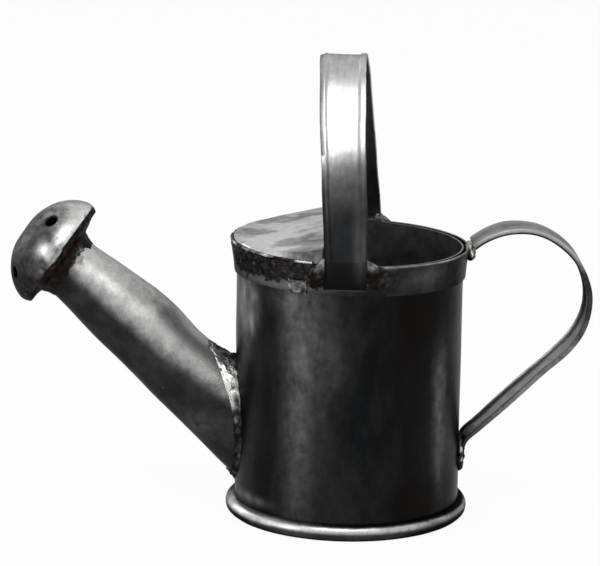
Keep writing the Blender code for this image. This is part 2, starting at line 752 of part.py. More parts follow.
def rose_hole_cutters(cutters):
    """One object of pins that stand square to the dome, one for each hole."""
    bm = bmesh.new()
    hole_ring = ROSE_RADIUS - ROSE_HOLE_MARGIN
    places = [(0.0, 0.0)]
    for i in range(ROSE_HOLE_COUNT):
        places.append((hole_ring, ROSE_HOLE_START + 2 * math.pi * i / ROSE_HOLE_COUNT))
    for ring, angle in places:
        height = ROSE_DEPTH * math.sqrt(1 - (ring / ROSE_RADIUS) ** 2)
        normal = Vector((
            ring * math.cos(angle) / ROSE_RADIUS ** 2,
            ring * math.sin(angle) / ROSE_RADIUS ** 2,
            height / ROSE_DEPTH ** 2,
        )).normalized()
        place = Vector((ring * math.cos(angle), ring * math.sin(angle), height))
        turn = Vector((0.0, 0.0, 1.0)).rotation_difference(normal).to_matrix().to_4x4()
        bmesh.ops.create_cone(
            bm, cap_ends=True, segments=ROSE_HOLE_SIDES, radius1=ROSE_HOLE_RADIUS,
            radius2=ROSE_HOLE_RADIUS, depth=8 * SHEET, matrix=Matrix.Translation(place) @ turn,
        )
    pins = mesh_object("rose_hole_cutter", bm, cutters)
    pins.matrix_world = rose_matrix()
    return pins


def solder_blob(name, centre, size, cutter_names, parts, turn=0.0):
    """A rounded lump of solder, cut clear of what it joins."""
    bm = bmesh.new()
    bmesh.ops.create_uvsphere(bm, u_segments=BLOB_SEGMENTS, v_segments=BLOB_RINGS, radius=1.0)
    bmesh.ops.scale(bm, verts=bm.verts, vec=size)
    bmesh.ops.rotate(bm, verts=bm.verts, cent=(0, 0, 0), matrix=Matrix.Rotation(turn, 3, "Z"))
    bmesh.ops.translate(bm, verts=bm.verts, vec=centre)
    blob = mesh_object(name, bm, parts)
    for cutter_name in cutter_names:
        boolean(blob, bpy.data.objects[cutter_name])
    return blob


def bail_solders(parts):
    """Four fillets, left and right of the hoop's two feet."""
    blobs = []
    for foot, side_of_y in (("near", -1), ("far", 1)):
        for side, side_of_x in (("left", -1), ("right", 1)):
            x = BAIL_FOOT_X + side_of_x * (BAIL_FOOT_WIDTH / 2 + BAIL_SOLDER_OFFSET)
            y = side_of_y * math.sqrt(BAND_TOP_OUTER ** 2 - x * x)
            turn = math.atan2(y, x) - side_of_y * math.pi / 2
            blobs.append(solder_blob(
                f"bail_solder_{foot}_{side}",
                (x, y, RIM_HEIGHT - BAIL_SOLDER_DROP),
                BAIL_SOLDER_SIZE,
                ("band_space_cutter", "bail_space_cutter"),
                parts,
                turn,
            ))
    return blobs


def handle_solders(parts):
    """Fillets at the handle's root on the band and round its tab on the wall."""
    out = Vector((math.cos(HANDLE_TURN), math.sin(HANDLE_TURN), 0.0))
    up = Vector((0.0, 0.0, 1.0))
    root = solder_blob(
        "handle_top_solder",
        out * BAND_TOP_OUTER + up * (RIM_HEIGHT - HANDLE_TOP_SOLDER_DROP),
        HANDLE_TOP_SOLDER_SIZE,
        ("band_space_cutter", "handle_space_cutter"),
        parts,
        HANDLE_TURN,
    )
    tab = solder_blob(
        "handle_foot_solder",
        out * WALL_RADIUS + up * (HANDLE_FOOT_HEIGHT - HANDLE_FOOT_SOLDER_DROP),
        HANDLE_FOOT_SOLDER_SIZE,
        ("wall_cutter", "handle_space_cutter"),
        parts,
        HANDLE_TURN,
    )
    return root, tab


def make_shared_cutters(cutters):
    """Cutters that several parts share."""
    cylinder("wall_cutter", WALL_RADIUS + CLEARANCE, 0.0, FAR, cutters)
    cylinder("band_space_cutter", BAND_TOP_OUTER + CLEARANCE, 0.0, FAR, cutters)
    foot_space = FOOT_RING_RADIUS + 2 * FOOT_ROLL
    cylinder("foot_space_cutter", foot_space, 0.0, WALL_BOTTOM, cutters)
    bail_strap("bail_space_cutter", cutters, CLEARANCE)
    rear_handle("handle_space_cutter", cutters, CLEARANCE)
    rose_space_cutter(cutters)


def finish_parts(parts, cutters):
    """Give every part its material and smooth shading, and hide the cutters."""
    finishes = {
        "tarnished_tin": (TARNISHED_TIN, ("body_wall", "base_disc", "spout_tube", "rose_dome")),
        "worn_tin": (WORN_TIN, ("mouth_cover", "bail_strap", "foot_ring")),
        "dark_tin": (DARK_TIN, ("rim_band", "rear_handle", "rose_back")),
        "burnt_solder": (BURNT_SOLDER, ("rose_neck_solder", "base_solder", "side_seam")),
    }
    chosen = {}
    for name, (finish, owners) in finishes.items():
        for owner in owners:
            chosen[owner] = (name, finish)
    made = {}
    for obj in parts.objects:
        name, finish = chosen.get(obj.name, ("bright_solder", BRIGHT_SOLDER))
        if name not in made:
            made[name] = new_material(name, finish)
        obj.data.materials.clear()
        obj.data.materials.append(made[name])
        obj.data.shade_smooth()
        obj.data.set_sharp_from_angle(angle=SMOOTH_ANGLE)
    for cutter in cutters.objects:
        cutter.hide_render = True
        cutter.display_type = "WIRE"


def stand_at_origin(parts, cutters):
    """Parent everything to an empty that centres the whole can's box in X."""
    frame = bpy.data.objects.new("body_axis", None)
    bpy.context.scene.collection.objects.link(frame)
    for obj in list(parts.objects) + list(cutters.objects):
        obj.parent = frame
    frame.location.x = (rose_reach() - handle_reach()) / 2


def main():
    """Build the whole can."""
    remove_everything()
    parts = new_collection("watering_can")
    cutters = new_collection("cutters")
    make_shared_cutters(cutters)
    body_wall(parts, cutters)
    side_seam(parts)
    rim_band(parts)
    band_patch(parts)
    foot_ring(parts)
    base_disc(parts)
    base_solder(parts)
    mouth_cover(parts)
    cover_solder(parts)
    bail_strap("bail_strap", parts)
    bail_solders(parts)
    rear_handle("rear_handle", parts)
    handle_solders(parts)
    spout_tube(parts)
    spout_root_solder(parts, cutters)
    rose_back(parts)
    rose_dome(parts, cutters)
    rose_neck_solder(parts, cutters)
    finish_parts(parts, cutters)
    stand_at_origin(parts, cutters)


main()
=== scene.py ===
"""Looks of a small hand-made watering can of soldered, tarnished tin.

The sub-assemblies follow the maker's order: body, mouth, hoop, rear handle,
spout and rose. Each one is a class that shapes its pieces as fine meshes over
the solids of the frame, paints as point attributes where the tin is rubbed,
scorched or rusted, and where highlights, reflections and shade are painted on,
and dresses them in the finishes. The studio comes last.

Metres, +Z up, +X towards the rear handle. Shapes are worked out about the
body's own axis and moved to the shared frame when their mesh is made.
"""

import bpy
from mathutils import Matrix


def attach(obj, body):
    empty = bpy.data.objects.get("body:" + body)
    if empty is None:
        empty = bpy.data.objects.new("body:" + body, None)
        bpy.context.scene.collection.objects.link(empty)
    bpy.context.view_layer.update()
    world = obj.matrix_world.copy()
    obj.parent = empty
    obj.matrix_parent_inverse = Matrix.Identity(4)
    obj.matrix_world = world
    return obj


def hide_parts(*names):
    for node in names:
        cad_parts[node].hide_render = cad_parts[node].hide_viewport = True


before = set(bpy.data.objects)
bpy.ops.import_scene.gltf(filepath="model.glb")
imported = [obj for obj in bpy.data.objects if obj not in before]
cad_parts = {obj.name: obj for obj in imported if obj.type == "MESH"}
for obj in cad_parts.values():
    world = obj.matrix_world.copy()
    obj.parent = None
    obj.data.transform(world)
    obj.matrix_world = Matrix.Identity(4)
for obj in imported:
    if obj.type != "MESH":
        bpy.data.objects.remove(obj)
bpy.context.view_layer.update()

import logging
import math
from dataclasses import dataclass, field
from enum import Enum
from typing import Callable, Sequence

import bmesh
import bpy
import numpy as np
from mathutils import Matrix, Vector, noise

log = logging.getLogger("watering_can")

# Place of the body's axis in the shared frame.
AXIS_X = 0.018807
# Thickness of the sheet, and the gap that touching pieces keep.
SHEET = 0.0007
CLEARANCE = 0.0003
# The wall and the band round it. The rim dips towards the rear handle.
WALL_RADIUS = 0.0431
WALL_BOTTOM = 0.0067
RIM_HEIGHT = 0.1053
RIM_SLOPE = math.tan(math.radians(0.9))
BAND_HEIGHT = 0.0113
BAND_OUTER = 0.0454
# Angle about the body's axis of the side that faces the camera, in degrees.
FACING = -85.6
# Points closer than this are merged.
WELD = 0.000005
# Noise: its seed, how fast finer layers fade, and how much finer each one is.
NOISE_SEED = 7
NOISE_FADE = 0.9
NOISE_STEP = 2.1
WHITE = (1.0, 1.0, 1.0, 1.0)


class Layer(Enum):
    """Point attributes that say how far a finish has changed, and where highlights and shade are painted on.
    """

    BRIGHT = "bright"
    BURNT = "burnt_and_shade"
    RUST = "rust"


class Slot(Enum):
    """Material slots of the record."""

    TARNISHED = "tarnished_tin"
    DARK = "dark_tin"
    WORN = "worn_tin"
    SOLDER = "bright_solder"
    BURNT = "burnt_solder"


@dataclass(frozen=True)
class Wash:
    """A soft patch of one layer: full at its centre and gone at about twice its size."""

    centre: tuple[float, float, float]
    size: tuple[float, float, float]
    amount: float

    def weight(self, points: np.ndarray) -> np.ndarray:
        """Amount of the patch at each point.

        Args:
            points: Places about the body's axis, one in each row.

        Returns:
            One value for each point.
        """
        away = ((points - np.array(self.centre)) / np.array(self.size)) ** 2
        return self.amount * np.exp(-away.sum(axis=1))


def around(degrees: float, height: float, radius: float = WALL_RADIUS) -> tuple[float, float, float]:
    """Place on a cylinder round the body's axis.

    Args:
        degrees: Angle from the side that faces the camera, positive to the right.
        height: Height above the floor.
        radius: Distance from the body's axis.

    Returns:
        The place as x, y, z.
    """
    turn = math.radians(FACING + degrees)
    return radius * math.cos(turn), radius * math.sin(turn), height


# Shaping


def fractal(points: np.ndarray, size: float, seed: float, octaves: int = 3) -> np.ndarray:
    """Smooth noise of about -1 to 1 at each point.

    Args:
        points: Places, one in each row.
        size: Width of the noise's largest lumps.
        seed: Shift that picks another part of the noise.
        octaves: Number of finer and finer layers.

    Returns:
        One value for each point.
    """
    shifted = points / size + np.array([seed, seed * 0.7, -seed * 1.3])
    return np.array([noise.fractal(Vector(p), NOISE_FADE, NOISE_STEP, octaves) for p in shifted])


def wobble(points: np.ndarray, size: float, amount: float, seed: float) -> np.ndarray:
    """Move points by smooth noise, so that both faces of a sheet move together.

    Args:
        points: Places, one in each row.
        size: Width of a bend.
        amount: Largest shift.
        seed: Shift that picks another part of the noise.

    Returns:
        The moved points.
    """
    shifted = points / size + seed
    return points + amount * np.array([noise.noise_vector(Vector(p)) for p in shifted])


def read_points(obj: bpy.types.Object) -> np.ndarray:
    """Vertices of a mesh object, one in each row."""
    flat = np.empty(len(obj.data.vertices) * 3)
    obj.data.vertices.foreach_get("co", flat)
    return flat.reshape(-1, 3)


def read_normals(obj: bpy.types.Object) -> np.ndarray:
    """Vertex normals of a mesh object, one in each row."""
    flat = np.empty(len(obj.data.vertices) * 3)
    obj.data.vertices.foreach_get("normal", flat)
    return flat.reshape(-1, 3)


def write_points(obj: bpy.types.Object, points: np.ndarray) -> None:
    """Put vertices of a mesh object at new places."""
    obj.data.vertices.foreach_set("co", points.ravel())
    obj.data.update()


def lump(obj: bpy.types.Object, size: float, amount: float | np.ndarray, seed: float) -> None:
    """Raise and sink a surface along its normals by smooth noise.

    Args:
        obj: Mesh object to change.
        size: Width of a lump.
        amount: Height of a lump, one value or one for each vertex.
        seed: Shift that picks another part of the noise.
    """
    points = read_points(obj)
    height = fractal(points, size, seed) * amount
    write_points(obj, points + read_normals(obj) * height[:, None])


def linked(name: str, data: bpy.types.ID) -> bpy.types.Object:
    """New object of the given data, linked to the scene."""
    obj = bpy.data.objects.new(name, data)
    bpy.context.scene.collection.objects.link(obj)
    return obj


def from_points(name: str, points: Sequence, edges: Sequence = (), faces: Sequence = ()) -> bpy.types.Object:
    """New mesh object of points, edges and faces."""
    mesh = bpy.data.meshes.new(name)
    mesh.from_pydata(points, edges, faces)
    return linked(name, mesh)


def from_bmesh(name: str, bm: bmesh.types.BMesh) -> bpy.types.Object:
    """New mesh object of a bmesh, which is freed."""
    mesh = bpy.data.meshes.new(name)
    bm.to_mesh(mesh)
    bm.free()
    return linked(name, mesh)


def tidy_mesh(obj: bpy.types.Object) -> None:
    """Merge the doubles of a mesh and turn its faces outwards."""
    bm = bmesh.new()
    bm.from_mesh(obj.data)
    bmesh.ops.remove_doubles(bm, verts=bm.verts, dist=WELD)
    bmesh.ops.recalc_face_normals(bm, faces=bm.faces)
    bm.to_mesh(obj.data)
    bm.free()


def moved(points: np.ndarray, matrix: Matrix) -> np.ndarray:
    """Points taken through a matrix, one in each row."""
    turn = np.array(matrix)
    return points @ turn[:3, :3].T + turn[:3, 3]


def directions(path: np.ndarray) -> np.ndarray:
    """Unit direction of a path at each of its points."""
    along = np.gradient(path, axis=0)
    return along / np.linalg.norm(along, axis=1)[:, None]


def full_turn(count: int) -> np.ndarray:
    """Even angles once round, without the last, which would repeat the first."""
    return np.linspace(0, 2 * math.pi, count + 1)[:-1]


def ring_noise(angle: np.ndarray, seed: float) -> np.ndarray:
    """Noise along a ring of 10 mm radius, which meets itself without a step."""
    ring = np.column_stack([np.cos(angle), np.sin(angle), angle * 0]) * 0.01
    return fractal(ring, 0.0040, seed)


def skin(name: str, rows: np.ndarray, closed: bool) -> bpy.types.Object:
    """Cover rows of equal, closed loops of points.

    Args:
        name: Name of the object.
        rows: Points as rows, points of a row, coordinates.
        closed: Whether the last row joins the first. Otherwise both ends are capped.

    Returns:
        The closed mesh object.
    """
    count, across = rows.shape[:2]
    last = count if closed else count - 1
    faces: list[Sequence[int]] = []
    for i in range(last):
        here = i * across
        there = ((i + 1) % count) * across
        for j in range(across):
            k = (j + 1) % across
            faces.append((here + j, here + k, there + k, there + j))
    if not closed:
        faces.append(tuple(range(across)))
        faces.append(tuple(range((count - 1) * across, count * across)))
    obj = from_points(name, rows.reshape(-1, 3).tolist(), [], faces)
    tidy_mesh(obj)
    return obj


def baked(obj: bpy.types.Object) -> bpy.types.Object:
    """Replace an object by the plain mesh that its modifiers make of it.

    Args:
        obj: Object with live modifiers.

    Returns:
        A plain mesh object of the same name and place.
    """
    bpy.context.view_layer.update()
    depsgraph = bpy.context.evaluated_depsgraph_get()
    mesh = bpy.data.meshes.new_from_object(obj.evaluated_get(depsgraph))
    name = obj.name
    bpy.data.objects.remove(obj, do_unlink=True)
    result = linked(name, mesh)
    tidy_mesh(result)
    return result


def cut(obj: bpy.types.Object, cutter: bpy.types.Object) -> bpy.types.Object:
    """Take a cutter's space out of an object and remove the cutter.

    Args:
        obj: Closed mesh object.
        cutter: Closed mesh object.

    Returns:
        The cut object.
    """
    modifier = obj.modifiers.new("cut", "BOOLEAN")
    modifier.operation = "DIFFERENCE"
    modifier.solver = "EXACT"
    modifier.object = cutter
    result = baked(obj)
    bpy.data.objects.remove(cutter, do_unlink=True)
    return result


def dense(profile: Sequence[tuple[float, float]], step: float) -> list[tuple[float, float]]:
    """Add points to a closed profile so that none lie further apart than a step.

    Args:
        profile: Corners as (radius, height).
        step: Largest distance between neighbours.

    Returns:
        The denser profile.
    """
    result = []
    for start, end in zip(profile, [*profile[1:], profile[0]]):
        parts = max(1, math.ceil(math.dist(start, end) / step))
        for i in range(parts):
            share = i / parts
            result.append(tuple(a + (b - a) * share for a, b in zip(start, end)))
    return result


# Node trees


class Wiring:
    """Short hand for adding and linking the nodes of one tree."""

    def __init__(self, tree: bpy.types.NodeTree) -> None:
        """Keep the tree that the nodes go into."""
        self.tree = tree

    def node(self, kind: str, links: dict | None = None, **settings: object) -> bpy.types.Node:
        """Add a node.

        Args:
            kind: The node's type.
            links: Values or sockets for its inputs, by their name or number.
            settings: Values of the node's own properties.

        Returns:
            The new node.
        """
        node = self.tree.nodes.new(kind)
        for name, value in settings.items():
            setattr(node, name, value)
        for key, value in (links or {}).items():
            if isinstance(value, bpy.types.NodeSocket):
                self.tree.links.new(value, node.inputs[key])
            else:
                node.inputs[key].default_value = value
        return node

    def math(self, operation: str, *values: object, clamp: bool = False) -> bpy.types.NodeSocket:
        """Result of a Math node on numbers or sockets."""
        links = dict(enumerate(values))
        node = self.node("ShaderNodeMath", links, operation=operation, use_clamp=clamp)
        return node.outputs[0]

    def span(self, value: object, low: float, high: float, to_low: float = 0.0,
             to_high: float = 1.0) -> bpy.types.NodeSocket:
        """Value between two limits, mapped smoothly to two others and held there."""
        links = {"Value": value, 1: low, 2: high, 3: to_low, 4: to_high}
        node = self.node("ShaderNodeMapRange", links, interpolation_type="SMOOTHSTEP")
        return node.outputs[0]

    def mix(self, share: object, first: object, second: object) -> bpy.types.NodeSocket:
        """Mix of two numbers."""
        links = {0: share, 2: first, 3: second}
        return self.node("ShaderNodeMix", links, data_type="FLOAT").outputs[0]

    def blend(self, share: object, first: object, second: object,
              mode: str = "MIX") -> bpy.types.NodeSocket:
        """Mix of two colours."""
        links = {0: share, 6: first, 7: second}
        settings = {"data_type": "RGBA", "blend_type": mode, "clamp_factor": True}
        return self.node("ShaderNodeMix", links, **settings).outputs[2]

    def noise(self, vector: object, scale: object, detail: float = 4.0,
              roughness: float = 0.55) -> bpy.types.NodeSocket:
        """Noise of 0 to 1."""
        links = {"Vector": vector, "Scale": scale, "Detail": detail, "Roughness": roughness}
        return self.node("ShaderNodeTexNoise", links).outputs[0]

    def group(self, tree: bpy.types.NodeTree, **values: object) -> bpy.types.Node:
        """Shader group with its own values."""
        return self.node("ShaderNodeGroup", values, node_tree=tree)

    def seen(self) -> bpy.types.NodeSocket:
        """1 for what the camera sees, itself or in a reflection, and 0 for other light."""
        rays = self.node("ShaderNodeLightPath")
        return self.math("MAXIMUM", rays.outputs["Is Camera Ray"], rays.outputs["Is Glossy Ray"])

    def random(self, low: object, high: object, seed: object) -> bpy.types.NodeSocket:
        """Random number between two others, one for each point."""
        links = {2: low, 3: high, "Seed": seed}
        return self.node("FunctionNodeRandomValue", links, data_type="FLOAT").outputs[1]

    def joined(self, first: bpy.types.NodeSocket, second: bpy.types.NodeSocket) -> bpy.types.NodeSocket:
        """Two geometries as one."""
        both = self.node("GeometryNodeJoinGeometry")
        self.tree.links.new(first, both.inputs[0])
        self.tree.links.new(second, both.inputs[0])
        return both.outputs[0]

    def finish(self, shape: bpy.types.NodeSocket, given: bpy.types.Node,
               result: bpy.types.Node) -> bpy.types.NodeTree:
        """End a geometry tree with real instances and the given material.

        Args:
            shape: The geometry.
            given: The tree's input node, with a Material socket.
            result: The tree's output node.

        Returns:
            The finished tree.
        """
        real = self.node("GeometryNodeRealizeInstances", {"Geometry": shape})
        dressed = self.node("GeometryNodeSetMaterial", {
            "Geometry": real.outputs[0], "Material": given.outputs["Material"],
        })
        self.tree.links.new(dressed.outputs[0], result.inputs[0])
        return self.tree


def new_group(name: str, kind: str, inputs: dict[str, tuple[str, object]],
              outputs: dict[str, str]) -> tuple[Wiring, bpy.types.Node, bpy.types.Node]:
    """Make a node group with named sockets.

    Args:
        name: Name of the group.
        kind: Type of its tree.
        inputs: Socket type and default value of each input, by its name.
        outputs: Socket type of each output, by its name.

    Returns:
        The group's wiring, its input node and its output node.
    """
    tree = bpy.data.node_groups.new(name, kind)
    for label, (socket, default) in inputs.items():
        item = tree.interface.new_socket(label, in_out="INPUT", socket_type=socket)
        if default is not None:
            item.default_value = default
    for label, socket in outputs.items():
        tree.interface.new_socket(label, in_out="OUTPUT", socket_type=socket)
    wiring = Wiring(tree)
    return wiring, wiring.node("NodeGroupInput"), wiring.node("NodeGroupOutput")


FLOAT = "NodeSocketFloat"
VECTOR = "NodeSocketVector"
WHOLE = "NodeSocketInt"
SHAPE = "NodeSocketGeometry"
FINISH = "NodeSocketMaterial"


def run_tree(obj: bpy.types.Object, tree: bpy.types.NodeTree,
             values: dict[str, object]) -> bpy.types.Object:
    """Run a Geometry Nodes tree on an object and keep its result as a plain mesh.

    Args:
        obj: Object whose geometry goes into the tree.
        tree: The tree.
        values: Values of its named inputs.

    Returns:
        The plain mesh object.
    """
    modifier = obj.modifiers.new(tree.name, "NODES")
    modifier.node_group = tree
    for item in tree.interface.items_tree:
        if item.item_type == "SOCKET" and item.in_out == "INPUT" and item.name in values:
            modifier[item.identifier] = values[item.name]
    return baked(obj)


def turned_sheet_tree() -> bpy.types.NodeTree:
    """Tree that turns a closed profile round Z, dents it and tilts its top.

    Returns:
        The tree. Its profile is a row of points with their radius as X.
    """
    wiring, given, result = new_group(
        "turned_sheet",
        "GeometryNodeTree",
        {
            "Profile": (SHAPE, None), "Around": (WHOLE, 192), "Slope": (FLOAT, 0.0),
            "Slope Low": (FLOAT, 0.0), "Slope High": (FLOAT, 0.1), "Dent Depth": (FLOAT, 0.0),
            "Dent Size": (FLOAT, 0.03), "Seed": (FLOAT, 0.0), "Material": (FINISH, None),
        },
        {"Mesh": SHAPE},
    )
    inputs = given.outputs
    count = wiring.node("GeometryNodeAttributeDomainSize", {"Geometry": inputs["Profile"]})
    rows = count.outputs["Point Count"]
    grid = wiring.node("GeometryNodeMeshGrid", {
        "Size X": 1.0, "Size Y": 1.0,
        "Vertices X": wiring.math("ADD", inputs["Around"], 1.0),
        "Vertices Y": wiring.math("ADD", rows, 1.0),
    })
    place = wiring.node("GeometryNodeInputPosition").outputs[0]
    split = wiring.node("ShaderNodeSeparateXYZ", {0: place})
    turn = wiring.math("MULTIPLY", wiring.math("ADD", split.outputs[0], 0.5), 2 * math.pi)
    row = wiring.math("ROUND", wiring.math("MULTIPLY", wiring.math("ADD", split.outputs[1], 0.5), rows))
    row = wiring.math("FLOORED_MODULO", row, rows)
    picked = wiring.node(
        "GeometryNodeSampleIndex",
        {"Geometry": inputs["Profile"], "Index": row},
        data_type="FLOAT_VECTOR",
        domain="POINT",
    )
    wiring.tree.links.new(place, picked.inputs["Value"])
    corner = wiring.node("ShaderNodeSeparateXYZ", {0: picked.outputs["Value"]})
    radius, height = corner.outputs[0], corner.outputs[2]
    cosine, sine = wiring.math("COSINE", turn), wiring.math("SINE", turn)
    flat = wiring.node("ShaderNodeCombineXYZ", {
        0: wiring.math("MULTIPLY", cosine, radius),
        1: wiring.math("MULTIPLY", sine, radius),
        2: height,
    }).outputs[0]
    dent = wiring.node(
        "ShaderNodeTexNoise",
        {
            "Vector": flat, "W": inputs["Seed"], "Detail": 1.5,
            "Scale": wiring.math("DIVIDE", 1.0, inputs["Dent Size"]),
        },
        noise_dimensions="4D",
    ).outputs[0]
    push = wiring.math("MULTIPLY", wiring.math("SUBTRACT", dent, 0.5), inputs["Dent Depth"])
    # Dents fade within 5 mm of the axis, where the sheet closes on itself.
    push = wiring.math("MULTIPLY", push, wiring.math("MULTIPLY", radius, 200.0, clamp=True))
    moved = wiring.math("ADD", radius, wiring.math("MULTIPLY", push, 2.0))
    across = wiring.math("MULTIPLY", cosine, moved)
    level = wiring.node("ShaderNodeMapRange", {
        "Value": height, 1: inputs["Slope Low"], 2: inputs["Slope High"],
    }).outputs[0]
    drop = wiring.math("MULTIPLY", wiring.math("MULTIPLY", across, level), inputs["Slope"])
    spot = wiring.node("ShaderNodeCombineXYZ", {
        0: across, 1: wiring.math("MULTIPLY", sine, moved), 2: wiring.math("SUBTRACT", height, drop),
    })
    shaped = wiring.node("GeometryNodeSetPosition", {
        "Geometry": grid.outputs[0], "Position": spot.outputs[0],
    })
    welded = wiring.node("GeometryNodeMergeByDistance", {
        "Geometry": shaped.outputs[0], "Distance": WELD,
    })
    return wiring.finish(welded.outputs[0], given, result)


def lump_bead_tree() -> bpy.types.NodeTree:
    """Tree that lays a run of solder lumps along a path.

    Returns:
        The tree. Its path is a row of points joined by edges.
    """
    wiring, given, result = new_group(
        "lump_bead",
        "GeometryNodeTree",
        {
            "Path": (SHAPE, None), "Core": (FLOAT, 0.0004), "Spacing": (FLOAT, 0.001),
            "Smallest": (FLOAT, 0.0004), "Largest": (FLOAT, 0.0008), "Seed": (WHOLE, 1),
            "Material": (FINISH, None),
        },
        {"Mesh": SHAPE},
    )
    inputs = given.outputs
    path = wiring.node("GeometryNodeMeshToCurve", {0: inputs["Path"]}).outputs[0]
    ring = wiring.node("GeometryNodeCurvePrimitiveCircle", {
        "Resolution": 12, "Radius": inputs["Core"],
    }).outputs[0]
    core = wiring.node("GeometryNodeCurveToMesh", {
        "Curve": path, "Profile Curve": ring, "Fill Caps": True,
    }).outputs[0]
    spots = wiring.node("GeometryNodeCurveToPoints", {
        "Curve": path, "Length": inputs["Spacing"],
    }, mode="LENGTH").outputs[0]
    drop = wiring.node("GeometryNodeMeshIcoSphere", {"Radius": 1.0, "Subdivisions": 2}).outputs[0]
    size = wiring.random(inputs["Smallest"], inputs["Largest"], inputs["Seed"])
    turn = wiring.node("FunctionNodeRandomValue", {
        0: (0.0, 0.0, 0.0), 1: (6.28, 6.28, 6.28), "Seed": inputs["Seed"],
    }, data_type="FLOAT_VECTOR").outputs[0]
    drops = wiring.node("GeometryNodeInstanceOnPoints", {
        "Points": spots, "Instance": drop, "Rotation": turn, "Scale": size,
    }).outputs[0]
    return wiring.finish(wiring.joined(core, drops), given, result)


def crumbs_tree() -> bpy.types.NodeTree:
    """Tree that scatters crumbs of solder and rust over a piece and keeps the piece.

    Returns:
        The tree. Crumbs lie where the piece's crumbs attribute is above 0.
    """
    wiring, given, result = new_group(
        "crumbs",
        "GeometryNodeTree",
        {
            "Mesh": (SHAPE, None), "Density": (FLOAT, 300000.0), "Smallest": (FLOAT, 0.0002),
            "Largest": (FLOAT, 0.0005), "Flatness": (FLOAT, 0.6), "Seed": (WHOLE, 1),
            "Material": (FINISH, None),
        },
        {"Mesh": SHAPE},
    )
    inputs = given.outputs
    where = wiring.node("GeometryNodeInputNamedAttribute", {"Name": "crumbs"}, data_type="FLOAT")
    density = wiring.math("MULTIPLY", inputs["Density"], where.outputs["Attribute"])
    spots = wiring.node("GeometryNodeDistributePointsOnFaces", {
        "Mesh": inputs["Mesh"], "Density": density, "Seed": inputs["Seed"],
    })
    grain = wiring.node("GeometryNodeMeshIcoSphere", {"Radius": 1.0, "Subdivisions": 2}).outputs[0]
    size = wiring.random(inputs["Smallest"], inputs["Largest"], inputs["Seed"])
    width = wiring.random(0.7, 1.5, wiring.math("ADD", inputs["Seed"], 7.0))
    scale = wiring.node("ShaderNodeCombineXYZ", {
        0: wiring.math("MULTIPLY", size, width),
        1: size,
        2: wiring.math("MULTIPLY", size, inputs["Flatness"]),
    }).outputs[0]
    grains = wiring.node("GeometryNodeInstanceOnPoints", {
        "Points": spots.outputs["Points"], "Instance": grain,
        "Rotation": spots.outputs["Rotation"], "Scale": scale,
    }).outputs[0]
    return wiring.finish(wiring.joined(inputs["Mesh"], grains), given, result)


def tarnish_mottle_group() -> bpy.types.NodeTree:
    """Shader group for cloudy tarnish, coarse and fine."""
    wiring, given, result = new_group(
        "tarnish_mottle",
        "ShaderNodeTree",
        {"Vector": (VECTOR, None), "Scale": (FLOAT, 60.0), "Streak": (FLOAT, 0.0)},
        {"Clouds": FLOAT, "Fine": FLOAT},
    )
    upright = wiring.math("SUBTRACT", 1.0, given.outputs["Streak"])
    stretch = wiring.node("ShaderNodeCombineXYZ", {0: 1.0, 1: 1.0, 2: upright}).outputs[0]
    vector = wiring.node("ShaderNodeVectorMath", {0: given.outputs["Vector"], 1: stretch},
                         operation="MULTIPLY").outputs[0]
    clouds = wiring.noise(vector, given.outputs["Scale"], 7.0, 0.62)
    fine = wiring.noise(vector, wiring.math("MULTIPLY", given.outputs["Scale"], 9.0), 5.0, 0.7)
    wiring.tree.links.new(wiring.span(clouds, 0.36, 0.66), result.inputs["Clouds"])
    wiring.tree.links.new(wiring.span(fine, 0.3, 0.7), result.inputs["Fine"])
    return wiring.tree


def ragged_layer_group() -> bpy.types.NodeTree:
    """Shader group that breaks up the edge of a painted layer."""
    wiring, given, result = new_group(
        "ragged_layer",
        "ShaderNodeTree",
        {
            "Amount": (FLOAT, 0.0), "Vector": (VECTOR, None), "Scale": (FLOAT, 250.0),
            "Raggedness": (FLOAT, 1.5),
        },
        {"Mask": FLOAT},
    )
    amount = given.outputs["Amount"]
    cloud = wiring.noise(given.outputs["Vector"], given.outputs["Scale"], 6.0, 0.65)
    swing = wiring.math("MULTIPLY", wiring.math("SUBTRACT", cloud, 0.5), given.outputs["Raggedness"])
    middle = wiring.math("MULTIPLY", amount, wiring.math("SUBTRACT", 1.0, amount))
    swing = wiring.math("MULTIPLY", wiring.math("MULTIPLY", swing, middle), 8.0)
    mask = wiring.math("ADD", amount, swing, clamp=True)
    wiring.tree.links.new(mask, result.inputs["Mask"])
    return wiring.tree


def speck_group() -> bpy.types.NodeTree:
    """Shader group for small separate specks."""
    wiring, given, result = new_group(
        "specks",
        "ShaderNodeTree",
        {"Vector": (VECTOR, None), "Scale": (FLOAT, 900.0), "Cover": (FLOAT, 0.2)},
        {"Mask": FLOAT},
    )
    cloud = wiring.noise(given.outputs["Vector"], given.outputs["Scale"], 3.0, 0.6)
    edge = wiring.math("SUBTRACT", 0.78, wiring.math("MULTIPLY", given.outputs["Cover"], 0.4))
    over = wiring.math("DIVIDE", wiring.math("SUBTRACT", cloud, edge), 0.05, clamp=True)
    wiring.tree.links.new(over, result.inputs["Mask"])
    return wiring.tree


def worked_height_group() -> bpy.types.NodeTree:
    """Shader group for the height of grain, pits and hammered unevenness."""
    wiring, given, result = new_group(
        "worked_height",
        "ShaderNodeTree",
        {"Vector": (VECTOR, None), "Grain": (FLOAT, 0.3), "Waves": (FLOAT, 1.0)},
        {"Height": FLOAT},
    )
    vector = given.outputs["Vector"]
    waves = wiring.math("MULTIPLY", wiring.noise(vector, 110.0, 2.0), given.outputs["Waves"])
    grain = wiring.math("MULTIPLY", wiring.noise(vector, 1400.0, 4.0, 0.7), given.outputs["Grain"])
    wiring.tree.links.new(wiring.math("ADD", waves, grain), result.inputs["Height"])
    return wiring.tree


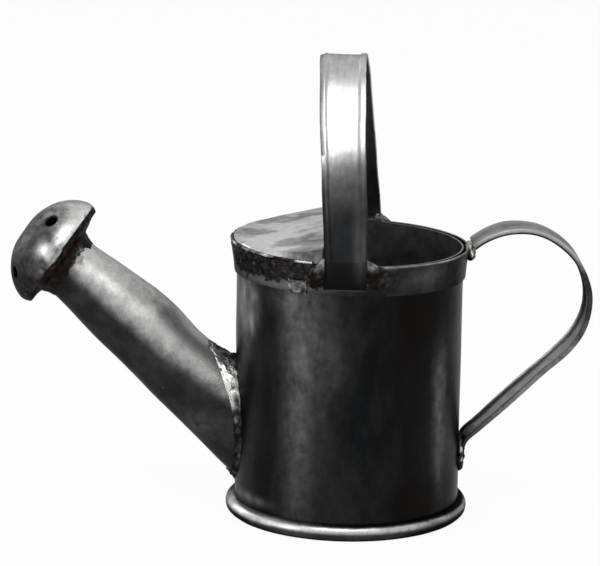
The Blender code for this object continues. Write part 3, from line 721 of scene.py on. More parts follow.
@dataclass
class Workshop:
    """The shared trees and groups, each built once."""

    turned_sheet: bpy.types.NodeTree = field(default_factory=turned_sheet_tree)
    lump_bead: bpy.types.NodeTree = field(default_factory=lump_bead_tree)
    crumbs: bpy.types.NodeTree = field(default_factory=crumbs_tree)
    mottle: bpy.types.NodeTree = field(default_factory=tarnish_mottle_group)
    ragged: bpy.types.NodeTree = field(default_factory=ragged_layer_group)
    specks: bpy.types.NodeTree = field(default_factory=speck_group)
    height: bpy.types.NodeTree = field(default_factory=worked_height_group)


# Finishes

Colour = tuple[float, float, float]

# Fineness of the specks, the pits and the broken edge of each painted layer.
SPECK_SCALE = 700.0
PIT_SCALE = 1150.0
LAYER_SCALES = {Layer.BRIGHT: 260.0, Layer.BURNT: 420.0, Layer.RUST: 500.0}
BURNT_ROUGHNESS = 0.48
RUST_ROUGHNESS = 0.85
RUST_METALLIC = 0.3


@dataclass(frozen=True)
class TinFinish:
    """One finish of tinned sheet or solder, from clean to rubbed bright, scorched and rusted, with painted
    highlights and painted shade.
    """

    name: str
    slot: Slot
    dark: Colour
    light: Colour
    # Colour of the bright layer: wear and painted highlights.
    worn_and_highlight: Colour
    roughness: float
    worn_roughness: float
    metallic: float = 0.95
    mottle_scale: float = 60.0
    streak: float = 0.0
    grain: float = 0.3
    waves: float = 0.6
    specks: float = 0.12
    bump: float = 0.35
    ragged: float = 0.35
    pits: float = 0.0
    edge_tint: float = 0.45
    # Colour of the dark layer: scorching and painted shade.
    burnt_and_shade: Colour = (0.006, 0.005, 0.0045)
    rust: Colour = (0.060, 0.026, 0.013)

    def build(self, shop: Workshop) -> bpy.types.Material:
        """Build the material.

        Args:
            shop: Shared shader groups.

        Returns:
            The material.
        """
        material = bpy.data.materials.new(self.name)
        material.use_nodes = True
        wiring = Wiring(material.node_tree)
        shader = material.node_tree.nodes["Principled BSDF"]
        place = wiring.node("ShaderNodeTexCoord").outputs["Object"]
        clouds = wiring.group(shop.mottle, Vector=place, Scale=self.mottle_scale, Streak=self.streak)
        specks = wiring.group(shop.specks, Vector=place, Scale=SPECK_SCALE, Cover=self.specks)
        colour = wiring.blend(clouds.outputs["Clouds"], (*self.dark, 1), (*self.light, 1))
        darker = wiring.math("MULTIPLY", clouds.outputs["Fine"], 0.35)
        colour = wiring.blend(darker, colour, (*self.dark, 1))
        bright, burnt_and_shade, rust = (self.layer(wiring, shop, place, layer) for layer in Layer)
        # The bright layer lays in wear and painted highlights.
        worn_and_highlight = wiring.blend(clouds.outputs["Fine"], (*self.worn_and_highlight, 1),
                            tuple(c * 0.84 for c in self.worn_and_highlight) + (1.0,))
        colour = wiring.blend(bright, colour, worn_and_highlight)
        glint = wiring.math("MULTIPLY", specks.outputs["Mask"], 0.30)
        colour = wiring.blend(glint, colour, (*self.worn_and_highlight, 1))
        if self.pits:
            pits = wiring.group(shop.specks, Vector=place, Scale=PIT_SCALE, Cover=self.pits)
            hollow = wiring.math("MULTIPLY", pits.outputs["Mask"], 0.55)
            colour = wiring.blend(hollow, colour, (*self.light, 1))
        # The dark layer lays in scorching and painted shade.
        colour = wiring.blend(burnt_and_shade, colour, (*self.burnt_and_shade, 1))
        colour = wiring.blend(rust, colour, (*self.rust, 1))
        rough = wiring.mix(clouds.outputs["Clouds"], self.roughness + 0.06, self.roughness)
        for mask, value in ((bright, self.worn_roughness), (burnt_and_shade, BURNT_ROUGHNESS), (rust, RUST_ROUGHNESS)):
            rough = wiring.mix(mask, rough, value)
        height = wiring.group(shop.height, Vector=place, Grain=self.grain, Waves=self.waves)
        bump = wiring.node("ShaderNodeBump", {
            "Strength": self.bump, "Distance": 0.0004, "Height": height.outputs["Height"],
        })
        results = {
            "Base Color": colour, "Roughness": rough, "Normal": bump.outputs["Normal"],
            "Metallic": wiring.mix(rust, self.metallic, RUST_METALLIC),
        }
        for label, socket in results.items():
            wiring.tree.links.new(socket, shader.inputs[label])
        shader.inputs["Specular Tint"].default_value = (*[self.edge_tint] * 3, 1.0)
        return material

    def layer(self, wiring: Wiring, shop: Workshop, place: bpy.types.NodeSocket,
              layer: Layer) -> bpy.types.NodeSocket:
        """Mask of a painted layer with a broken edge."""
        painted = wiring.node("ShaderNodeAttribute", attribute_name=layer.value)
        mask = wiring.group(shop.ragged, Amount=painted.outputs["Fac"], Vector=place,
                            Scale=LAYER_SCALES[layer], Raggedness=self.ragged)
        return mask.outputs["Mask"]


FINISHES = (
    TinFinish("wall_tin", Slot.TARNISHED, (0.0050, 0.0055, 0.0062), (0.018, 0.0185, 0.019),
              (0.38, 0.38, 0.38), 0.32, 0.30, streak=0.6, waves=0.4, specks=0.05,
              edge_tint=0.62),
    TinFinish("spout_tin", Slot.TARNISHED, (0.015, 0.0155, 0.016), (0.034, 0.034, 0.035),
              (0.54, 0.54, 0.53), 0.36, 0.38, metallic=0.84, mottle_scale=110.0, specks=0.2,
              grain=0.6, ragged=0.55, pits=0.28),
    TinFinish("rose_tin", Slot.TARNISHED, (0.030, 0.0305, 0.031), (0.056, 0.056, 0.056),
              (0.70, 0.70, 0.69), 0.35, 0.27, mottle_scale=130.0, specks=0.25, grain=0.5,
              ragged=0.7, pits=0.25),
    TinFinish("ring_tin", Slot.WORN, (0.012, 0.0125, 0.013), (0.034, 0.035, 0.036),
              (0.74, 0.74, 0.74), 0.34, 0.28, mottle_scale=80.0, specks=0.08, waves=0.35,
              ragged=0.4, edge_tint=0.12),
    TinFinish("rose_plate", Slot.DARK, (0.006, 0.005, 0.0045), (0.020, 0.015, 0.012),
              (0.42, 0.41, 0.40), 0.50, 0.34, mottle_scale=260.0, grain=0.6, bump=0.6),
    TinFinish("band_tin", Slot.DARK, (0.010, 0.010, 0.011), (0.030, 0.030, 0.030),
              (0.42, 0.42, 0.41), 0.36, 0.30, mottle_scale=110.0),
    TinFinish("strap_tin", Slot.WORN, (0.009, 0.0095, 0.010), (0.022, 0.0225, 0.023),
              (0.62, 0.62, 0.62), 0.33, 0.26, mottle_scale=70.0, streak=0.85, specks=0.0,
              waves=0.25, ragged=0.2),
    TinFinish("cover_tin", Slot.WORN, (0.014, 0.0145, 0.015), (0.040, 0.041, 0.042),
              (0.66, 0.66, 0.66), 0.34, 0.28, mottle_scale=80.0, specks=0.08, waves=0.35,
              ragged=0.5, edge_tint=0.85),
    TinFinish("solder", Slot.SOLDER, (0.014, 0.012, 0.011), (0.075, 0.068, 0.060),
              (0.66, 0.65, 0.62), 0.42, 0.27, metallic=0.88, mottle_scale=240.0, specks=0.2,
              bump=0.55, ragged=0.6),
    TinFinish("burnt_crust", Slot.BURNT, (0.008, 0.006, 0.0055), (0.030, 0.023, 0.018),
              (0.50, 0.48, 0.45), 0.55, 0.30, metallic=0.8, mottle_scale=360.0, specks=0.15,
              bump=0.8, ragged=0.8),
)


Amount = float | np.ndarray


@dataclass
class Rack:
    """The built materials, by name, with the slot of each."""

    shop: Workshop
    materials: dict[str, bpy.types.Material] = field(default_factory=dict)
    slots: dict[str, Slot] = field(default_factory=dict)

    def fill(self) -> None:
        """Build every finish."""
        for finish in FINISHES:
            self.materials[finish.name] = finish.build(self.shop)
            self.slots[finish.name] = finish.slot

    def dress(self, obj: bpy.types.Object, finish: str, nodes: Sequence[str],
              bright: Amount = 0.0, burnt_and_shade: Amount = 0.0, rust: Amount = 0.0,
              soft_angle: float = 40.0) -> bpy.types.Object:
        """Paint, finish and hand over one piece.

        Args:
            obj: Mesh object shaped about the body's axis.
            finish: Name of its finish.
            nodes: Frame nodes that it replaces.
            bright: How much wear it shows, with its painted highlights, one value or one for each vertex.
            burnt_and_shade: How scorched it is, with its painted shade, likewise.
            rust: How rusted it is, likewise.
            soft_angle: Edges sharper than this many degrees stay crisp.

        Returns:
            The finished object in the shared frame.
        """
        for layer, amount in zip(Layer, (bright, burnt_and_shade, rust)):
            values = np.clip(np.broadcast_to(amount, len(obj.data.vertices)), 0.0, 1.0)
            attribute = obj.data.attributes.new(layer.value, "FLOAT", "POINT")
            attribute.data.foreach_set("value", np.ascontiguousarray(values, dtype=np.float32))
        points = read_points(obj)
        points[:, 0] += AXIS_X
        write_points(obj, points)
        obj.data.materials.clear()
        obj.data.materials.append(self.materials[finish])
        obj.data.shade_smooth()
        obj.data.set_sharp_from_angle(angle=math.radians(soft_angle))
        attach(obj, "root")
        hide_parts(*nodes)
        log.info("%s: %d faces, %s", obj.name, len(obj.data.polygons), finish)
        return obj


def washed(points: np.ndarray, washes: Sequence[Wash], ground: float = 0.0) -> np.ndarray:
    """Sum of a ground value and soft patches at each point."""
    total = np.full(len(points), ground)
    for wash in washes:
        total = total + wash.weight(points)
    return np.clip(total, 0.0, 1.0)


@dataclass
class Assembly:
    """What every sub-assembly needs to build its pieces."""

    shop: Workshop
    rack: Rack

    def turned(self, name: str, profile: Sequence[tuple[float, float]],
               values: dict[str, object] | None = None) -> bpy.types.Object:
        """Turn a closed profile round the body's axis.

        Args:
            name: Name of the piece.
            profile: Points as (radius, height).
            values: Inputs of the turning tree.

        Returns:
            The plain mesh object.
        """
        obj = from_points(name, [(r, 0.0, z) for r, z in profile])
        return run_tree(obj, self.shop.turned_sheet, values or {})

    def bead(self, name: str, path: np.ndarray, values: dict[str, object]) -> bpy.types.Object:
        """Lay a run of solder lumps along a path.

        Args:
            name: Name of the piece.
            path: Points of the path, one in each row.
            values: Inputs of the bead tree.

        Returns:
            The plain mesh object.
        """
        edges = [(i, i + 1) for i in range(len(path) - 1)]
        return run_tree(from_points(name, path.tolist(), edges), self.shop.lump_bead, values)

    def crumbled(self, obj: bpy.types.Object, where: np.ndarray, seed: int,
                 values: dict[str, object] | None = None) -> bpy.types.Object:
        """Scatter crumbs over a piece.

        Args:
            obj: Mesh object.
            where: Share of the full density at each vertex.
            seed: Picks their places.
            values: Other inputs of the crumb tree.

        Returns:
            The piece with its crumbs.
        """
        attribute = obj.data.attributes.new("crumbs", "FLOAT", "POINT")
        share = np.ascontiguousarray(np.clip(where, 0, 1), dtype=np.float32)
        attribute.data.foreach_set("value", share)
        result = run_tree(obj, self.shop.crumbs, {"Seed": seed, **(values or {})})
        left = result.data.attributes.get("crumbs")
        if left:
            result.data.attributes.remove(left)
        return result

    def blob(self, name: str, centre: Vector, size: tuple[float, float, float], turn: float,
             seed: float, height: float = 0.0006) -> bpy.types.Object:
        """A rounded lump of solder with an uneven skin.

        Args:
            name: Name of the piece.
            centre: Its middle.
            size: Its half sizes before it is turned.
            turn: Angle about Z in radians.
            seed: Picks its own lumps.
            height: Height of its lumps.

        Returns:
            The mesh object.
        """
        bm = bmesh.new()
        bmesh.ops.create_icosphere(bm, subdivisions=5, radius=1.0)
        bmesh.ops.scale(bm, verts=bm.verts, vec=size)
        bmesh.ops.rotate(bm, verts=bm.verts, cent=(0, 0, 0), matrix=Matrix.Rotation(turn, 3, "Z"))
        bmesh.ops.translate(bm, verts=bm.verts, vec=centre)
        obj = from_bmesh(name, bm)
        lump(obj, 0.0030, height, seed)
        lump(obj, 0.0011, height * 0.35, seed + 5.0)
        return obj


# Body


@dataclass
class Body(Assembly):
    """Wall, far seam, foot ring and bottom plate."""

    foot_roll: float = 0.0032
    foot_radius: float = 0.0433
    port_radius: float = 0.0138
    seam_angle: float = 62.0
    seam_width: float = 0.0050
    seam_height: float = 0.0005
    wall_overlap: float = 0.0004

    def build(self) -> None:
        """Build and dress every piece of the body."""
        self.wall()
        self.seam()
        self.foot()
        self.bottom()

    def wall(self) -> None:
        """Dented sheet wall with the spout's port, mottled, with streaks of wear that also carry painted
        reflections of the side lamps, and painted light on its inner face.
        """
        top = RIM_HEIGHT - CLEARANCE
        inner = WALL_RADIUS - SHEET
        # The skin reaches a little lower than the sheet, so that no floor shows above the ring.
        foot = WALL_BOTTOM - self.wall_overlap
        loop = [(WALL_RADIUS, foot), (WALL_RADIUS, top), (inner, top), (inner, foot)]
        obj = self.turned("body_wall_skin", dense(loop, 0.0011), {
            "Around": 288, "Slope": RIM_SLOPE, "Slope Low": WALL_BOTTOM, "Slope High": top,
            "Dent Depth": 0.00032, "Dent Size": 0.028, "Seed": 3.0,
        })
        bm = bmesh.new()
        bmesh.ops.create_cone(bm, cap_ends=True, segments=64, radius1=self.port_radius,
                              radius2=self.port_radius, depth=0.05)
        port = from_bmesh("port", bm)
        axis = SpoutLine()
        port.matrix_world = axis.matrix() @ Matrix.Translation((0.0, 0.0, axis.length))
        obj = cut(obj, port)
        points = read_points(obj)
        inside = np.hypot(points[:, 0], points[:, 1]) < WALL_RADIUS - SHEET * 0.6
        # Patches and streaks of wear; on the near side they are also painted reflections of the side lamps:
        # the broad patch on the left and the streaks left and right of the middle.
        bright = washed(points, [
            Wash(around(-64, 0.086), (0.0050, 0.0072, 0.0095), 1.00),
            Wash(around(-67, 0.080), (0.0022, 0.0034, 0.0065), 0.90),
            Wash(around(-59, 0.078), (0.0016, 0.0020, 0.0035), 0.60),
            Wash(around(-57, 0.088), (0.0016, 0.0020, 0.0020), 0.50),
            Wash(around(-66, 0.069), (0.0045, 0.006, 0.007), 0.22),
            Wash(around(-30, 0.091), (0.009, 0.008, 0.006), 0.16),
            Wash(around(-26, 0.078), (0.0065, 0.006, 0.014), 0.12),
            Wash(around(-26, 0.045), (0.0060, 0.006, 0.045), 0.17),
            Wash(around(-14, 0.070), (0.008, 0.006, 0.022), 0.09),
            Wash(around(52, 0.058), (0.0028, 0.005, 0.015), 0.26),
            Wash(around(53, 0.030), (0.0026, 0.005, 0.018), 0.18),
            Wash(around(64, 0.050), (0.0030, 0.006, 0.020), 0.07),
            Wash(around(-62, 0.0100), (0.012, 0.012, 0.0016), 0.30),
            Wash(around(140, 0.060), (0.008, 0.008, 0.030), 0.16),
            Wash(around(-140, 0.050), (0.008, 0.008, 0.030), 0.14),
            Wash(around(180, 0.080), (0.012, 0.008, 0.012), 0.12),
        ])
        bright *= 0.90 + 0.45 * fractal(points * [1, 1, 0.35], 0.0035, 8.0)
        burnt_and_shade = washed(points, [
            Wash(around(-90, 0.030), (0.012, 0.018, 0.020), 0.4),
            Wash(around(92, 0.024), (0.006, 0.010, 0.010), 0.7),
            Wash(around(34, 0.060), (0.013, 0.010, 0.070), 0.85),
            Wash(around(42, 0.088), (0.016, 0.014, 0.014), 0.75),
            Wash(around(38, 0.012), (0.022, 0.016, 0.010), 0.85),
            Wash(around(-42, 0.030), (0.008, 0.008, 0.020), 0.25),
        ])
        # Painted light on the inner face, lighter towards the right.
        painted_inner_light = washed(points, [
            Wash(around(112, 0.102, 0.042), (0.012, 0.014, 0.006), 0.45),
            Wash(around(80, 0.098, 0.042), (0.010, 0.020, 0.014), 0.25),
        ], 0.80)
        painted_inner_light *= 0.85 + 0.5 * fractal(points, 0.005, 9.0)
        bright[inside] = painted_inner_light[inside]
        burnt_and_shade[inside] = 0.0
        self.rack.dress(obj, "wall_tin", ["body_wall"], bright, burnt_and_shade)

    def seam(self) -> None:
        """Soldered lap up the far side."""
        half = self.seam_width / WALL_RADIUS / 2
        turns = np.linspace(-half, half, 17) + math.radians(self.seam_angle)
        heights = np.linspace(WALL_BOTTOM, RIM_HEIGHT - BAND_HEIGHT - 0.0011, 150)
        rows = []
        for z in heights:
            crown = 1.0 - (np.linspace(-1, 1, 17)) ** 4
            outer = WALL_RADIUS + CLEARANCE + 0.0001 + self.seam_height * crown
            inner = np.full(17, WALL_RADIUS + CLEARANCE * 0.5)
            radius = np.concatenate([outer, inner[::-1]])
            angle = np.concatenate([turns, turns[::-1]])
            rows.append(np.stack([radius * np.cos(angle), radius * np.sin(angle),
                                  np.full(34, z)], axis=1))
        obj = skin("side_seam_skin", np.array(rows), False)
        lump(obj, 0.0035, 0.0002, 4.0)
        points = read_points(obj)
        bright = np.clip(0.05 + fractal(points, 0.006, 9.0) * 0.3, 0, 1)
        self.rack.dress(obj, "burnt_crust", ["side_seam"], bright)

    def foot(self) -> None:
        """Rolled bead under the wall, with a painted highlight along its upper outer side and painted shade
        on its top by the wall and low on the right.
        """
        start = math.asin(0.0009 / self.foot_roll)
        lift = self.foot_roll * math.cos(start)
        loop = []
        for i in range(36):
            angle = -math.pi / 2 + start + (2 * math.pi - 2 * start) * i / 35
            radius = self.foot_radius + self.foot_roll * math.cos(angle)
            loop.append((radius, max(0.0, lift + self.foot_roll * math.sin(angle))))
        obj = self.turned("foot_ring_skin", loop, {
            "Around": 288, "Dent Depth": 0.00022, "Dent Size": 0.010, "Seed": 8.0,
        })
        points = read_points(obj)
        radius = np.hypot(points[:, 0], points[:, 1])
        above = np.clip((points[:, 2] - 0.0030) / 0.0012, 0, 1)
        outside = np.clip((radius - self.foot_radius + 0.001) / 0.001, 0, 1)
        left = washed(points, [Wash(around(-62, 0.004), (0.026, 0.026, 0.02), 1.3)])
        # Painted shade on the top of the roll, in the crease by the wall, but not on the left.
        facing = np.clip((0.86 - read_normals(obj)[:, 2]) / 0.22, 0, 1)
        facing = np.clip(np.maximum(facing, left), 0, 1)
        # Painted highlight along the upper outer side.
        bright = above * outside * (0.78 + 0.25 * fractal(points, 0.010, 2.0)) * facing
        # Painted shade low on the right, where the highlight is also taken out.
        right = washed(points, [Wash(around(52, 0.002), (0.022, 0.022, 0.008), 0.85)])
        burnt_and_shade = (1 - facing) * 0.85 + right * np.clip((0.0032 - points[:, 2]) / 0.001, 0, 1)
        self.rack.dress(obj, "ring_tin", ["foot_ring"], bright * (1 - right) + 0.02, burnt_and_shade)

    def bottom(self) -> None:
        """Recessed bottom plate and its solder inside."""
        edge = WALL_RADIUS - SHEET - CLEARANCE
        top = WALL_BOTTOM + SHEET
        loop = [(edge, WALL_BOTTOM), (edge, top), (0.0, top), (0.0, WALL_BOTTOM)]
        plate = self.turned("base_disc_skin", dense(loop, 0.003), {
            "Around": 96, "Seed": 5.0,
        })
        points = read_points(plate)
        burnt_and_shade = np.clip(0.35 + fractal(points, 0.02, 6.0) * 0.5, 0, 1)
        self.rack.dress(plate, "wall_tin", ["base_disc"], burnt_and_shade=burnt_and_shade)
        low = top + CLEARANCE
        loop = [(edge, low + 0.0022), (edge - 0.0014, low + 0.0009), (edge - 0.0022, low), (edge, low)]
        fillet = self.turned("base_solder_skin", dense(loop, 0.0008), {
            "Around": 192, "Dent Depth": 0.0002, "Dent Size": 0.004, "Seed": 6.0,
        })
        self.rack.dress(fillet, "burnt_crust", ["base_solder"])


# Mouth


@dataclass
class Mouth(Assembly):
    """Band round the rim, its patch, the half-moon cover and its solder."""

    flare: float = 0.0011
    hem: float = 0.0009
    hem_height: float = 0.0022
    patch_angles: tuple[float, float] = (242.8, 252.6)
    patch_height: float = 0.0048
    cover_radius: float = 0.0442
    straight_edge: float = -0.0076
    lift: float = 0.0043
    lift_power: float = 2.1
    edge_drop: float = 0.0006

    def build(self) -> None:
        """Build and dress every piece of the mouth."""
        self.band()
        self.patch()
        self.cover()
        self.cover_bead()

    def band(self) -> None:
        """Flared band with a turned edge, a scorched crust on its near left side, a painted highlight on its
        rubbed top edge and painted light on its inner face.
        """
        inner = WALL_RADIUS + CLEARANCE
        low = RIM_HEIGHT - BAND_HEIGHT
        fold = RIM_HEIGHT - self.hem_height
        middle = (low + fold) / 2
        waist = inner + self.flare * 0.35
        top = inner + self.flare
        loop = [
            (inner + SHEET, low), (waist + SHEET, middle), (top + SHEET, fold),
            (BAND_OUTER - 0.0001, fold + 0.0003), (BAND_OUTER, fold + 0.0006),
            (BAND_OUTER, RIM_HEIGHT - 0.0005), (BAND_OUTER - 0.0002, RIM_HEIGHT - 0.0001),
            (BAND_OUTER - 0.0005, RIM_HEIGHT), (top + 0.0002, RIM_HEIGHT),
            (top, RIM_HEIGHT - 0.0002), (top, fold), (waist, middle), (inner, low),
        ]
        obj = self.turned("rim_band_skin", dense(loop, 0.0004), {
            "Around": 480, "Slope": RIM_SLOPE, "Slope Low": 0.0, "Slope High": 0.001,
            "Dent Depth": 0.00022, "Dent Size": 0.012, "Seed": 11.0,
        })
        points = read_points(obj)
        level = points[:, 2] + RIM_SLOPE * points[:, 0]
        radius = np.hypot(points[:, 0], points[:, 1])
        outside = np.clip((radius - (inner + SHEET * 0.6)) / 0.0002, 0, 1)
        degrees = np.degrees(np.arctan2(points[:, 1], points[:, 0])) - FACING
        degrees = (degrees + 180) % 360 - 180
        ragged = fractal(points, 0.0035, 21.0)
        edge = low + 0.0030 + 0.0030 * ragged
        high = np.clip((level - edge) / 0.0008, 0, 1)
        left = np.clip((degrees + 82) / 8, 0, 1) * np.clip((-12 - degrees) / 5, 0, 1)
        near_foot = np.exp(-((degrees - 12) / 7) ** 2)
        crust = outside * np.clip(high * left + near_foot * high, 0, 1)
        lump(obj, 0.0022, 0.00055 * crust, 30.0)
        lump(obj, 0.0009, 0.00028 * crust, 31.0)
        # Top edge rubbed bright, with a painted highlight that grows towards the right.
        top_edge = np.clip((level - (RIM_HEIGHT - 0.0006)) / 0.0004, 0, 1)
        right = np.clip((degrees - 14) / 10, 0, 1)
        bright = washed(points, [
            Wash(around(-35, low + 0.0022), (0.018, 0.010, 0.0022), 0.28),
            Wash(around(-60, low + 0.0025), (0.008, 0.010, 0.0022), 0.25),
            Wash(around(40, low + 0.006), (0.012, 0.012, 0.004), 0.08),
            Wash(around(78, low + 0.006), (0.006, 0.010, 0.006), 0.12),
        ]) * outside
        bright = np.maximum(bright, top_edge * (0.20 + 0.35 * right) * outside)
        grit = np.clip(fractal(points, 0.0014, 44.0) + 0.1, 0, 1)
        bright = bright * (1 - crust * 0.95) + 0.22 * crust * grit
        bright = np.maximum(bright, washed(points, [
            Wash(around(18, 0.1052), (0.0034, 0.0034, 0.0009), 0.9),
            Wash(around(-61, 0.0935), (0.0018, 0.0022, 0.0010), 0.8),
            Wash(around(-54, 0.0930), (0.0016, 0.0022, 0.0008), 0.7),
        ]))
        inside = 1 - outside
        burnt_and_shade = np.clip(crust * (0.62 + 0.3 * fractal(points, 0.0020, 40.0)), 0, 1)
        # Painted light on the inner face.
        bright = np.maximum(bright, inside * 0.35)
        rust = crust * np.clip(fractal(points, 0.0030, 50.0) * 0.35 - 0.02, 0, 0.16)
        self.rack.dress(obj, "band_tin", ["rim_band"], bright, burnt_and_shade * (1 - bright), rust)

    def patch(self) -> None:
        """Small lighter lap of solder on the band's lower edge."""
        inner = WALL_RADIUS + CLEARANCE + SHEET + 0.0003
        start, end = (math.radians(a) for a in self.patch_angles)
        low = RIM_HEIGHT - BAND_HEIGHT - 0.0004
        high = low + 0.0004 + self.patch_height
        rows = []
        for z in np.linspace(low, high, 40):
            across = np.linspace(-1, 1, 45)
            edge = (1 - across ** 8) * (1 - (2 * (z - low) / (high - low) - 1) ** 8)
            outer = inner + 0.0003 + 0.0006 * edge
            radius = np.concatenate([outer, np.full(45, inner)])
            turn = (start + end) / 2 + across * (end - start) / 2
            turn = np.concatenate([turn, turn[::-1]])
            x = radius * np.cos(turn)
            rows.append(np.stack([x, radius * np.sin(turn), z - RIM_SLOPE * x], axis=1))
        obj = skin("band_patch_skin", np.array(rows), False)
        lump(obj, 0.0016, 0.00022, 14.0)
        points = read_points(obj)
        bright = np.clip(0.12 + 0.30 * fractal(points, 0.0022, 15.0), 0, 1)
        self.rack.dress(obj, "solder", ["band_patch"], bright)

    def rise(self, x: np.ndarray) -> np.ndarray:
        """Lift of the cover above the rim along X."""
        share = np.clip((x + self.cover_radius) / (self.straight_edge + self.cover_radius), 0, 1)
        return self.lift * share ** self.lift_power

    def cover(self) -> None:
        """Half-moon plate that rises to its straight edge."""
        half = math.acos(-self.straight_edge / self.cover_radius)
        turns = math.pi + np.linspace(-half, half, 181)
        flat = SHEET + self.edge_drop
        rows = []
        for turn in turns:
            edge = self.cover_radius * np.array([math.cos(turn), math.sin(turn)])
            root = np.array([self.straight_edge, edge[1]])
            share = np.linspace(0.004, 1, 60)[:, None]
            flat_row = root + (edge - root) * share
            height = self.rise(flat_row[:, 0]) + flat
            row = np.column_stack([flat_row, height])
            out = edge / self.cover_radius
            bend = [
                (0.00010, -0.00006), (0.00020, -0.00020), (0.00026, -0.00045),
                (0.00030, -0.0008), (0.00030, -flat),
            ]
            skirt = [[*(edge + out * r), flat + z] for r, z in bend]
            rows.append(np.vstack([row, skirt]))
        grid = np.array(rows)
        count, across = grid.shape[:2]
        faces = [
            (i * across + j, (i + 1) * across + j, (i + 1) * across + j + 1, i * across + j + 1)
            for i in range(count - 1) for j in range(across - 1)
        ]
        points = grid.reshape(-1, 3)
        points[:, 2] += RIM_HEIGHT + CLEARANCE - RIM_SLOPE * points[:, 0]
        obj = from_points("mouth_cover_skin", points.tolist(), [], faces)
        bm = bmesh.new()
        bm.from_mesh(obj.data)
        bmesh.ops.remove_doubles(bm, verts=bm.verts, dist=0.00001)
        bm.normal_update()
        if sum(face.normal.z for face in bm.faces) < 0:
            bmesh.ops.reverse_faces(bm, faces=bm.faces)
        bm.to_mesh(obj.data)
        bm.free()
        shell = obj.modifiers.new("sheet", "SOLIDIFY")
        shell.thickness = SHEET
        shell.offset = -1.0
        obj = baked(obj)
        write_points(obj, wobble(read_points(obj), 0.012, 0.00022, 6.0))
        points = read_points(obj)
        bright = washed(points, [
            Wash((-0.030, -0.020, 0.106), (0.020, 0.020, 0.02), 0.45),
            Wash((-0.024, 0.010, 0.108), (0.020, 0.022, 0.02), 0.35),
            Wash((-0.020, -0.034, 0.106), (0.014, 0.006, 0.02), 0.35),
        ], 0.35)
        dull = np.clip((fractal(points, 0.011, 12.0) + 0.05) * 2.4, 0, 1) * 0.45
        bright = np.clip(bright - dull, 0.12, 0.92)
        burnt_and_shade = washed(points, [
            Wash((-0.012, -0.018, 0.108), (0.006, 0.008, 0.02), 0.45),
            Wash((-0.043, 0.0, 0.105), (0.003, 0.03, 0.02), 0.2),
        ])
        self.rack.dress(obj, "cover_tin", ["mouth_cover"], bright, burnt_and_shade)

    def cover_bead(self) -> None:
        """Run of solder lumps along the cover's curved edge."""
        turns = math.pi + np.radians(np.linspace(-75, 75, 160))
        radius = self.cover_radius + 0.0009
        x, y = radius * np.cos(turns), radius * np.sin(turns)
        height = RIM_HEIGHT + 0.0006 - RIM_SLOPE * x
        obj = self.bead("cover_solder_skin", np.column_stack([x, y, height]), {
            "Core": 0.00045, "Spacing": 0.0009, "Smallest": 0.0003, "Largest": 0.00068, "Seed": 4,
        })
        points = read_points(obj)
        bright = np.clip(0.35 + fractal(points, 0.004, 3.0) * 0.8, 0, 1)
        burnt_and_shade = np.clip(fractal(points, 0.005, 23.0) * 2.0, 0, 0.9)
        corner = washed(points, [Wash(around(-19.6, 0.1065, 0.0455), (0.005, 0.004, 0.003), 0.9)])
        rust = washed(points, [Wash(around(-33.9, 0.1071, 0.0455), (0.0012, 0.0012, 0.002), 0.9)])
        self.rack.dress(obj, "solder", ["cover_solder"], bright * (1 - burnt_and_shade) + corner,
                        burnt_and_shade * (1 - corner), rust)


# Straps


def mirrored(left: Sequence[tuple[float, float]]) -> list[tuple[float, float]]:
    """One side of an outline, followed by its mirror image in running order."""
    return [*left, *((-across, out) for across, out in reversed(left))]


def strap_outline(width: float, thickness: float, hem: float, hem_width: float,
                  inward: bool) -> list[tuple[float, float]]:
    """Cross-section of a strap with folded edges.

    Args:
        width: Full width.
        thickness: Thickness of the bare sheet.
        hem: How far the folds stand proud.
        hem_width: Width of a fold.
        inward: Whether the folds are on the inner face.

    Returns:
        Points as (across, outward), with the bare inner face at outward 0.
    """
    half = width / 2
    fold = half - hem_width
    soft = thickness * 0.35
    step = hem * 0.7
    if inward:
        inner = [(-half, -hem + soft), (-half + soft, -hem), (-fold - step, -hem),
                 (-fold, -hem * 0.6), (-fold + step, 0.0)]
        outer = [(half, thickness - soft), (half - soft, thickness)]
    else:
        high = thickness + hem
        inner = [(-half, soft), (-half + soft, 0.0)]
        outer = [(half, high - soft), (half - soft, high), (fold + step, high),
                 (fold, thickness + hem * 0.5), (fold - step, thickness)]
    return mirrored(inner) + mirrored(outer)


